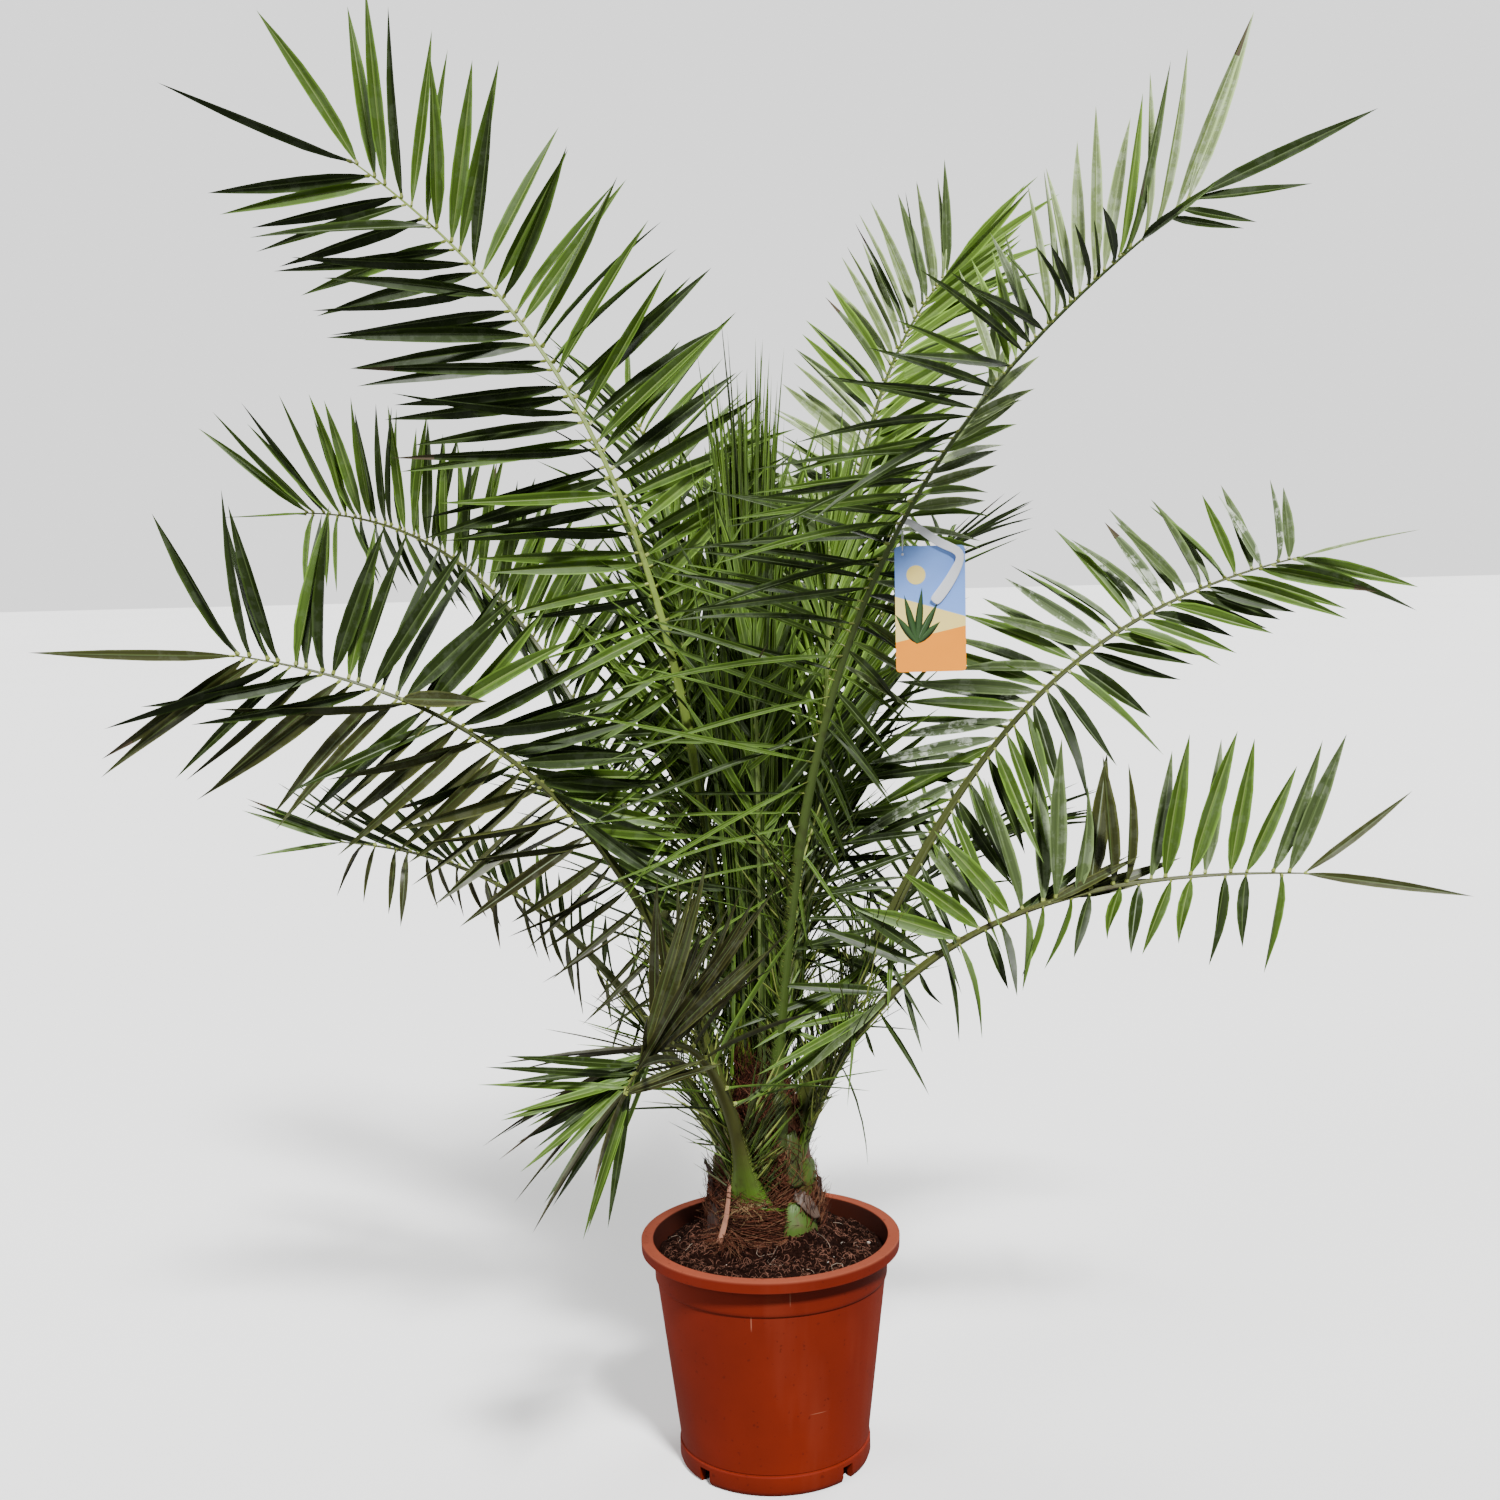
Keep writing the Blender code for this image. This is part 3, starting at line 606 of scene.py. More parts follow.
class Finish:
    """A material and the nodes that vary its surface."""

    def __init__(self, name, roughness, **constants):
        self.material = bpy.data.materials.new(name)
        self.material.use_nodes = True
        self.tree = self.material.node_tree
        self.shader = self.tree.nodes["Principled BSDF"]
        self.shader.inputs["Roughness"].default_value = roughness
        for socket, value in constants.items():
            self.shader.inputs[socket.replace("_", " ")].default_value = value

    def node(self, kind, settings=None, values=None):
        """Any node: its type, its settings, then the values or links of its sockets."""
        made = self.tree.nodes.new(kind)
        for key, value in (settings or {}).items():
            setattr(made, key, value)
        for key, value in (values or {}).items():
            if isinstance(value, Value):
                self.tree.links.new(value.socket, made.inputs[key])
            else:
                made.inputs[key].default_value = value
        return made

    def out(self, made, output=0):
        return Value(self.tree, made.outputs[output])

    def place(self, output="Object", scale=(1.0, 1.0, 1.0)):
        """Object or UV coordinates, stretched by scale."""
        source = self.node("ShaderNodeTexCoord")
        mapping = self.node("ShaderNodeMapping", None, {
            "Vector": self.out(source, output),
            "Scale": scale,
        })
        return self.out(mapping)

    def grain(self, where, scale, detail=3.0, roughness=0.55):
        """Noise between 0 and 1."""
        made = self.node("ShaderNodeTexNoise", None, {
            "Vector": where,
            "Scale": scale,
            "Detail": detail,
            "Roughness": roughness,
        })
        return self.out(made)

    def ramp(self, factor, *stops):
        """Numbers between 0 and 1 through (position, value) stops."""
        made = self.node("ShaderNodeValToRGB", None, {"Fac": factor})
        points = made.color_ramp.elements
        while len(points) < len(stops):
            points.new(1.0)
        for point, (position, value) in zip(points, stops):
            point.position = position
            point.color = (value, value, value, 1.0)
        return self.out(made)

    def mixed(self, factor, first, second, blend="MIX"):
        """Colours mixed by a factor; each colour is a tuple or a socket's Value."""
        made = self.node("ShaderNodeMix", {"data_type": "RGBA", "blend_type": blend}, {0: factor})
        for index, colour in ((6, first), (7, second)):
            if isinstance(colour, Value):
                self.tree.links.new(colour.socket, made.inputs[index])
            else:
                made.inputs[index].default_value = (*colour, 1.0)
        return self.out(made, 2)

    def paint(self, colour):
        self.tree.links.new(colour.socket, self.shader.inputs["Base Color"])

    def polish(self, roughness):
        self.tree.links.new(roughness.socket, self.shader.inputs["Roughness"])

    def emboss(self, height, distance, strength=1.0):
        made = self.node("ShaderNodeBump", None, {
            "Height": height,
            "Distance": distance,
            "Strength": strength,
        })
        self.tree.links.new(made.outputs[0], self.shader.inputs["Normal"])


def shade(colour, factor):
    return tuple(min(1.0, channel * factor) for channel in colour)


# Leaf greens. "deep" is a darker copy of the green, dealt to leaflets that turn from the light or sit in the crown's
# shade: painted shade. "pale" is a lighter copy for upturned leaflets, standing for both their paler undersides and
# painted sheen.
LEAF_TINTS = {
    "fresh": (0.140, 0.245, 0.034),
    "mid": (0.070, 0.130, 0.016),
    "deep": (0.021, 0.038, 0.005),
    "grey": (0.092, 0.134, 0.046),
    "olive": (0.046, 0.052, 0.013),
    "spear": (0.086, 0.155, 0.018),
    "pale": (0.230, 0.305, 0.120),
    "umber": (0.026, 0.026, 0.007),
    "white_spotted": (0.140, 0.190, 0.090),
}
LEAF_PALE_SPOTS = {"grey": 0.10, "pale": 0.25, "white_spotted": 0.95}
RIB_TINT = (0.135, 0.200, 0.038)
VEIN_TINT = (0.058, 0.092, 0.018)
PALE_RIBBED = ("fresh", "mid", "pale", "spear")
PULVINUS_TINT = (0.250, 0.300, 0.060)
DRY_TINT = (0.085, 0.060, 0.028)


def leaf_finish(name, colour, pale_spots):
    """Leaf blade: fine veins along it, soft mottling, a painted highlight along both long edges and, on old ones, pale
    spots.
    """
    finish = Finish(name, 0.40, Specular_IOR_Level=0.17)
    pattern = finish.place("UV")
    around = finish.out(finish.node("ShaderNodeSeparateXYZ", None, {0: pattern}), 0)
    inward = (around * math.tau).sine().size()
    veins = finish.grain(finish.place("UV", (15.0, 0.8, 1.0)), 1.0, 2.5)
    patches = finish.grain(finish.place(), 9.0, 3.0)
    fine = finish.grain(finish.place(), 60.0, 2.0)
    base = finish.mixed(finish.ramp(patches, (0.3, 0.0), (0.7, 1.0)), shade(colour, 0.72), shade(colour, 1.3))
    veined = finish.mixed(((veins - 0.5) * 3.6 + 0.4).clamped(), shade(colour, 0.6), base)
    veined = finish.mixed(((veins - 0.55) * 5.0).clamped(), veined, shade(colour, 1.9))
    mottled = finish.mixed(fine * 0.35, veined, shade(colour, 0.55))
    # Painted highlight: a pale band along both long edges of the blade.
    edge_highlight = finish.ramp(inward, (0.05, 0.75), (0.30, 0.0))
    edge_highlighted = finish.mixed(edge_highlight, mottled, shade(colour, 2.3))
    # Pale spots: a few on most leaflets, many on the white-spotted tint.
    spots = finish.ramp(finish.grain(finish.place(), 48.0, 5.0, 0.7), (0.50, 0.0), (0.58, pale_spots))
    finish.paint(finish.mixed(spots * (veins + 0.4).clamped(), edge_highlighted, (0.60, 0.66, 0.54)))
    finish.polish(fine * 0.25 + 0.30)
    finish.emboss(veins, 0.0004, 0.6)
    return finish.material


def plain_leaf_finish(name, colour, roughness=0.5, wear=0.3):
    """Ribs, swollen bases and dry tips: one colour with fine streaks and blotches."""
    finish = Finish(name, roughness)
    streaks = finish.grain(finish.place("UV", (14.0, 2.0, 1.0)), 1.0, 2.0)
    blotches = finish.grain(finish.place(), 35.0, 3.0)
    base = finish.mixed(streaks, shade(colour, 0.75), shade(colour, 1.2))
    finish.paint(finish.mixed(blotches * wear, base, shade(colour, 0.45)))
    finish.polish(blotches * 0.2 + (roughness - 0.1))
    finish.emboss(streaks, 0.0003, 0.5)
    return finish.material


def leaf_materials():
    """All leaf materials, in the order of the slots of every leaflet mesh."""
    names = list(LEAF_TINTS)
    made = [leaf_finish(f"leaf_{name}", LEAF_TINTS[name], LEAF_PALE_SPOTS.get(name, 0.03)) for name in names]
    made.append(plain_leaf_finish("leaf_midrib", RIB_TINT))
    made.append(plain_leaf_finish("leaflet_base", PULVINUS_TINT, 0.45))
    made.append(plain_leaf_finish("leaf_dry_tip", DRY_TINT, 0.75, 0.6))
    made.append(plain_leaf_finish("leaf_vein", VEIN_TINT))
    return made, {name: index for index, name in enumerate([*names, "rib", "base", "dry", "vein"])}


# Leaflets

LEAF_STATIONS = (  # share of the length, half width as a share of the widest, half thickness
    (0.000, 0.12, 0.0010),
    (0.010, 0.25, 0.0020),
    (0.032, 0.21, 0.0012),
    (0.110, 0.58, 0.0004),
    (0.240, 0.93, 0.0003),
    (0.420, 1.00, 0.0003),
    (0.620, 0.84, 0.0002),
    (0.800, 0.48, 0.0002),
    (0.930, 0.17, 0.0002),
)
LEAF_SECTION = (  # share of the half width, share of the half thickness
    (-1.00, 0.0),
    (-0.08, 1.0),
    (0.08, 1.0),
    (1.00, 0.0),
    (0.08, -1.8),
    (-0.08, -1.8),
)
BLADE, RIB, SWOLLEN, TIP = range(4)


def leaflet_shape():
    """A keeled leaflet in its own measures: share of length, share of half width, thickness."""
    sides = len(LEAF_SECTION)
    rings = [[(-0.004, 0.0, 0.0)] * sides]
    for along, width, thick in LEAF_STATIONS:
        rings.append([(along, side * width, up * thick) for side, up in LEAF_SECTION])
    rings.append([(1.0, 0.0, 0.0)] * sides)
    last = len(rings) - 1

    def kind(u, v):
        row = int(v * last)
        if row < 3:
            return SWOLLEN
        if int(u * sides) in (1, 4):
            return RIB
        return TIP if row >= last - 2 else BLADE

    return read_shape(extruded("leaflet", rings), kind)


def lay_leaflet(
    shape, base, way, normal, length, width, fold=0.45, droop=0.0, sideways=0.0, twist=0.0, sag=0.0,
):
    """Vertices of a leaflet from base along way, its groove open towards normal.

    droop bends it away from its normal, sideways in its own plane and sag towards the ground, as
    shares of the length; twist turns its blade about its own line by the tip, in radians.
    """
    way = np.asarray(way, dtype=float)
    way = way / np.linalg.norm(way)
    normal = np.asarray(normal, dtype=float)
    normal = normal - way * normal.dot(way)
    normal = normal / np.linalg.norm(normal)
    across = np.cross(way, normal)
    a, b, c = shape.points.T
    angle = twist * a
    turned_across = np.outer(np.cos(angle), across) + np.outer(np.sin(angle), normal)
    turned_up = np.outer(np.cos(angle), normal) - np.outer(np.sin(angle), across)
    centre = (
        np.asarray(base)
        + np.outer(a * length, way)
        - np.outer(a * a * length * droop, normal)
        + np.outer(a * a * length * sideways, across)
        - np.outer(a * a * length * sag * math.hypot(way[0], way[1]), (0.0, 0.0, 1.0))
    )
    half = 0.5 * width
    flat = (b * half * math.cos(fold))[:, None] * turned_across
    raised = (np.abs(b) * half * math.sin(fold) + c)[:, None] * turned_up
    return centre + flat + raised


class Rib:
    """The curve of one frond's rib, with the frame of its blade at each point."""

    def __init__(self, frond):
        self.frond = frond
        axis = Vector((STEM_X, STEM_Y, 0.0))
        foot_radius = max(LEAST_FOOT_RADIUS, stem_radius(frond.foot_height) - FOOT_INSET)
        foot = axis + direction(frond.foot_turn, 0.0) * foot_radius
        foot.z = frond.foot_height
        tip = axis + direction(frond.turn, 0.0) * frond.reach
        tip.z = frond.top
        handle = HANDLE_SHARE * (tip - foot).length
        self.points = (
            foot,
            foot + direction(frond.foot_turn, frond.launch) * handle,
            tip - direction(frond.turn, frond.arrival) * handle,
            tip,
        )
        self.length = sum(
            (self.at((i + 1) / 40) - self.at(i / 40)).length for i in range(40)
        )

    def at(self, t):
        a, b, c, d = self.points
        k = 1.0 - t
        return a * k**3 + b * (3 * k * k * t) + c * (3 * k * t * t) + d * t**3

    def frame(self, t):
        """Tangent, right-hand side and upper normal of the blade at t."""
        a, b, c, d = self.points
        k = 1.0 - t
        tangent = ((b - a) * (k * k) + (c - b) * (2 * k * t) + (d - c) * (t * t)).normalized()
        turn = math.radians(self.frond.turn)
        side = Vector((math.sin(turn), -math.cos(turn), 0.0))
        side = (side - tangent * side.dot(tangent)).normalized()
        normal = side.cross(tangent)
        roll = interpolate(list(zip(ROLL_SPAN, (self.frond.roll_low, self.frond.roll_high))), t)
        c1, s1 = math.cos(math.radians(roll)), math.sin(math.radians(roll))
        return tangent, side * c1 + normal * s1, normal * c1 - side * s1

    def half_size(self, t):
        """Half the width and half the depth of the stalk at t."""
        frond = self.frond
        if t < BARE_SHARE:
            share = t / BARE_SHARE
            spread = math.exp(-t * self.length / 0.030) - math.exp(-BARE_SHARE * self.length / 0.030)
            petiole = PETIOLE_WIDTH * frond.girth
            width = petiole + (frond.foot_width - petiole) * spread
            depth = PETIOLE_FOOT_DEPTH + (PETIOLE_DEPTH - PETIOLE_FOOT_DEPTH) * share
        else:
            share = (t - BARE_SHARE) / (1.0 - BARE_SHARE)
            width = frond.girth * (PETIOLE_WIDTH + (RIB_WIDTH - PETIOLE_WIDTH) * min(1.0, share * 3.0))
            width += (RIB_TIP_WIDTH - width) * share**2.5
            depth = PETIOLE_DEPTH + (RIB_TIP_WIDTH - PETIOLE_DEPTH) * share
        return 0.5 * width, 0.5 * depth


STALK_SECTION = (  # share of the half width, share of the half depth
    (0.00, 0.45),
    (0.55, 0.95),
    (0.92, 0.75),
    (1.00, 0.15),
    (0.75, -0.60),
    (0.30, -0.98),
    (-0.30, -0.98),
    (-0.75, -0.60),
    (-1.00, 0.15),
    (-0.92, 0.75),
    (-0.55, 0.95),
)
STALK_ROWS = 46
SHEATH_ROWS = ((1.0, 1.9, 0.10), (0.72, 1.6, 0.22), (0.42, 1.3, 0.45), (0.16, 1.1, 0.8))


def stalk_piece(rib):
    """Sheathing foot on the stem, channelled stalk, and rib out to the last leaflets."""
    frond = rib.frond
    foot = rib.at(0.0)
    foot_half, foot_depth = rib.half_size(0.0)
    rings = []
    for share, widening, thinning in SHEATH_ROWS:
        z = foot.z - share * frond.sheath
        reach = stem_radius(z) + 0.0015
        depth = foot_depth * thinning
        ring = []
        for x, y in STALK_SECTION:
            turn = frond.foot_turn - math.degrees(x * foot_half * widening / reach)
            place = direction(turn, 0.0) * (reach - y * depth)
            ring.append((STEM_X + place.x, STEM_Y + place.y, z))
        rings.append(ring)
    for i in range(STALK_ROWS + 1):
        t = i / STALK_ROWS
        _, across, normal = rib.frame(t)
        half, depth = rib.half_size(t)
        centre = rib.at(t)
        rings.append([centre + across * (x * half) + normal * (y * depth) for x, y in STALK_SECTION])
    low = np.mean(np.array(rings[0]), axis=0)
    end = rib.at(1.0) + rib.frame(1.0)[0] * 0.002
    rings.insert(0, [tuple(low)] * len(STALK_SECTION))
    rings.append([tuple(end)] * len(STALK_SECTION))
    return extruded(f"frond_{frond.name}_rib", rings)


LEAFY_START = 0.16
LOW_PART = 0.40
LENGTH_SHARES = ((0.0, 0.55), (0.12, 0.80), (0.25, 0.95), (0.45, 1.0), (0.85, 0.95), (1.0, 0.85))
WIDTHS = ((0.0, 0.0050), (0.10, 0.0072), (0.22, 0.0110), (0.38, 0.0175), (0.5, 0.0190), (1.0, 0.0185))
PITCHES = ((0.0, 1.5), (0.25, 1.15), (0.4, 1.0), (1.0, 1.0))
SWAY = ((0.0, 4.0), (0.25, 2.6), (0.5, 1.4), (1.0, 0.8))


def leafy_frond(rib, shape, slots, rng, spacing, width_scale):
    """All the leaflets of a frond, in two ranks that waver about its blade."""
    frond = rib.frond
    heap = Heap()
    for side_index, side in enumerate((1.0, -1.0)):
        t = LEAFY_START + 0.5 * side_index * spacing / rib.length
        count = 0
        rank = RANKS[frond.name][side_index] if frond.name in RANKS else Rank(())
        while t <= 1.0:
            grown = (t - LEAFY_START) / (1.0 - LEAFY_START)
            curl = rank.curl * rng.normal()
            if rank.rows:
                way, facing, length = seen_way(rib, rank, t, grown, count, rng)
                length *= 1.0 + 0.2 * curl
            else:
                way, facing, length = grown_way(rib, side, t, grown, count, rng)
            half, _ = rib.half_size(t)
            _, across, normal = rib.frame(t)
            width = width_scale * frond.breadth * rank.breadth * interpolate(WIDTHS, grown)
            points = lay_leaflet(
                shape,
                rib.at(t) + across * (side * half * 0.7) + normal * (0.2 * half),
                way, facing, length, width * (1.0 + rng.normal() * 0.08),
                fold=0.60 + rng.normal() * 0.10,
                droop=0.03 + rng.normal() * 0.02,
                sideways=-side * (0.02 + rng.normal() * 0.022) + 0.10 * curl,
                twist=rng.normal() * 0.28 + 0.9 * curl,
                sag=max(0.0, 0.04 + rng.normal() * 0.03),
            )
            tints = frond.low_tints if grown < LOW_PART * rng.uniform(0.7, 1.2) else frond.tints
            heap.add(shape, points, deal(tints[side_index], slots, rng))
            pairing = 0.75 if count % 2 else 1.25
            t += pairing * spacing * frond.pitch * rank.pitch * interpolate(PITCHES, grown) / rib.length
            count += 1
    for fan in frond.fans:
        add_fan(heap, rib, shape, slots, rng, fan)
    return heap


def grown_way(rib, side, t, grown, count, rng):
    """Direction, upper normal and length of a leaflet that grows by the general rule."""
    u = max(0.0, (t - BARE_SHARE) / (1.0 - BARE_SHARE))
    near_tip = min(1.0, 4.0 * (1.0 - u) + 0.2)
    sway = interpolate(SWAY, grown)
    tangent, across, normal = rib.frame(t)
    sweep = math.radians(interpolate(LEAFLET_SWEEPS, u) + rng.normal() * 3.5 * sway)
    lift = rib.frond.lift + sway * ((9.0, -8.0, 1.0)[count % 3] * near_tip + rng.normal() * 4.0)
    lift = math.radians(lift)
    outward = across * (side * math.cos(lift)) + normal * math.sin(lift)
    facing = normal * math.cos(lift) - across * (side * math.sin(lift))
    facing += tangent * (0.35 + rng.normal() * 0.18)
    length = rib.frond.leaflet * interpolate(LENGTH_SHARES, grown) * (1.0 + rng.normal() * 0.05)
    return tangent * math.cos(sweep) + outward * math.sin(sweep), facing, length


def seen_way(rib, rank, t, grown, count, rng):
    """The same for a leaflet of a rank that the front view shows."""
    shares, angles, lengths, leans = zip(*rank.rows)
    sway = interpolate(SWAY, grown)
    angle = np.interp(t, shares, angles) + rng.normal() * 3.0 * sway
    angle = math.radians(angle + (rank.cross if count % 3 == 2 else 0.0) * rng.uniform(0.5, 1.2))
    lean = np.interp(t, shares, leans) + (0.10, -0.12, 0.16)[count % 3] * sway + rng.normal() * 0.08 * sway
    length = np.interp(t, shares, lengths) * math.hypot(1.0, lean) * (1.0 + rng.normal() * 0.05)
    tangent, _, _ = rib.frame(t)
    tilt = Vector(rng.normal(size=3)) * 0.32
    facing = Vector((rank.facing[0], -1.0, rank.facing[1])) + tangent * 0.25 + tilt
    return Vector((math.cos(angle), -lean, math.sin(angle))), facing, length


# The "dusk" spray and every "deep" tint paint shade on leaflets in shadow.
SPRAYS = {  # the tints that the leaflets of one spray are dealt
    "fresh": ("fresh", "fresh", "fresh", "fresh", "mid"),
    "mid": ("mid", "mid", "mid", "mid", "deep"),
    "deep": ("deep", "deep", "deep", "deep", "mid"),
    "dusk": ("deep", "mid"),
    "soft": ("grey", "mid", "grey", "mid", "olive"),
    "grey": ("grey", "grey", "mid", "grey", "white_spotted", "mid"),
    "pale": ("pale", "pale", "pale", "grey", "fresh"),
    "olive": ("olive", "olive", "olive", "deep"),
    "umber": ("umber", "umber", "umber", "olive"),
    "heart": ("mid", "spear", "deep", "mid"),
    "light": ("fresh", "mid", "spear"),
}


def deal(spray, slots, rng):
    """Material slots of one leaflet, its tint drawn from those of its spray."""
    tints = SPRAYS[spray]
    tint = tints[int(rng.random() * len(tints))]
    own = slots[tint]
    tip = slots["dry"] if rng.random() < 0.03 else own
    return own, slots["rib" if tint in PALE_RIBBED else "vein"], slots["base"], tip


def add_fan(heap, rib, shape, slots, rng, fan):
    """Leaflets that spread from a short stretch of rib, by their angle in the front view."""
    for i in range(fan.count):
        share = (i + rng.random()) / fan.count
        t = fan.start + (fan.end - fan.start) * rng.random()
        angle = math.radians(fan.angle_low + (fan.angle_high - fan.angle_low) * share)
        towards = fan.towards + rng.normal() * 0.22
        way = (math.cos(angle), -towards, math.sin(angle))
        facing = (rng.normal() * 0.5, -1.0, 0.4 + rng.normal() * 0.3)
        length = fan.length * rng.uniform(0.82, 1.08)
        points = lay_leaflet(
            shape, rib.at(t), way, facing, length, fan.width * rng.uniform(0.8, 1.1),
            fold=0.4 + rng.normal() * 0.12, droop=rng.normal() * 0.03,
            sideways=rng.normal() * 0.03, twist=rng.normal() * 0.3,
        )
        heap.add(shape, points, deal(fan.tint, slots, rng))


# Strands and lumps


def strand_shape(sides=4, segments=6):
    """A thin closed rod of unit length and radius, for strands and roots."""
    rings = [[(-0.002, 0.0, 0.0)] * sides]
    for i in range(segments + 1):
        rings.append([
            (i / segments, math.cos(math.tau * k / sides), math.sin(math.tau * k / sides))
            for k in range(sides)
        ])
    rings.append([(1.002, 0.0, 0.0)] * sides)
    return read_shape(extruded("strand", rings), lambda u, v: 0)


def lay_strand(shape, path, radius, taper=0.35):
    """Vertices of a strand along a path given as a function of the share of its length."""
    a, b, c = shape.points.T
    places = np.array([path(x) for x in a])
    ahead = np.array([path(min(1.0, x + 0.02)) for x in a])
    behind = np.array([path(max(0.0, x - 0.02)) for x in a])
    tangent = ahead - behind
    tangent = tangent / np.linalg.norm(tangent, axis=1)[:, None]
    guide = np.where(np.abs(tangent[:, 2:3]) > 0.9, (1.0, 0.0, 0.0), (0.0, 0.0, 1.0))
    across = np.cross(tangent, guide)
    across = across / np.linalg.norm(across, axis=1)[:, None]
    up = np.cross(across, tangent)
    size = (radius * (1.0 - (1.0 - taper) * np.clip(a, 0.0, 1.0)))[:, None]
    return places + (b[:, None] * across + c[:, None] * up) * size


def lump_shape():
    """A small rough crumb of unit radius."""
    deselect()
    bpy.ops.mesh.primitive_ico_sphere_add(subdivisions=1, radius=1.0)
    thing = bpy.context.active_object
    bpy.ops.object.mode_set(mode="EDIT")
    bpy.ops.mesh.select_all(action="SELECT")
    bpy.ops.mesh.vertices_smooth(factor=0.2)
    bpy.ops.object.mode_set(mode="OBJECT")
    rng = seeded(3)
    for vertex in thing.data.vertices:
        vertex.co *= rng.uniform(0.8, 1.3)
    return read_shape(thing, lambda u, v: 0)


# Settings


class PalmPotSettings(bpy.types.PropertyGroup):
    """Colour and fineness of the pot."""

    colour: bpy.props.FloatVectorProperty(
        name="Pot colour", description="Colour of the moulded plastic", subtype="COLOR",
        default=(0.138, 0.0108, 0.0030), min=0.0, max=1.0,
    )
    steps: bpy.props.IntProperty(
        name="Steps round the pot", description="Facets round each ring", default=144, min=24,
    )


class PalmFoliageSettings(bpy.types.PropertyGroup):
    """Numbers and sizes of the leaflets."""

    spacing: bpy.props.FloatProperty(
        name="Leaflet spacing", description="Distance between leaflets on one side of a rib",
        default=0.0180, min=0.01, unit="LENGTH",
    )
    width_scale: bpy.props.FloatProperty(
        name="Leaflet width", description="Width of the leaflets against the usual one", default=1.0,
    )
    spines: bpy.props.IntProperty(
        name="Spines", description="Short stiff leaflets low on each stalk", default=92, min=0,
    )


class PalmStemSettings(bpy.types.PropertyGroup):
    """Fibres of the stem and crumbs of the compost."""

    density: bpy.props.FloatProperty(
        name="Fibre density", description="Share of the usual number of loose strands", default=1.0,
        min=0.0, max=2.0,
    )
    crumbs: bpy.props.IntProperty(
        name="Crumbs", description="Loose crumbs on the compost", default=2600, min=0,
    )


class PalmStageSettings(bpy.types.PropertyGroup):
    """Floor and light."""

    floor_size: bpy.props.FloatProperty(
        name="Floor size", description="Side of the floor", default=60.0, unit="LENGTH",
    )
    key_strength: bpy.props.FloatProperty(
        name="Key strength", description="Strength of the main light", default=7.6,
    )
    sky_strength: bpy.props.FloatProperty(
        name="Sky strength", description="Strength of the even light all round", default=0.08,
    )


def settings():
    return bpy.context.scene.palm_settings


# Pot


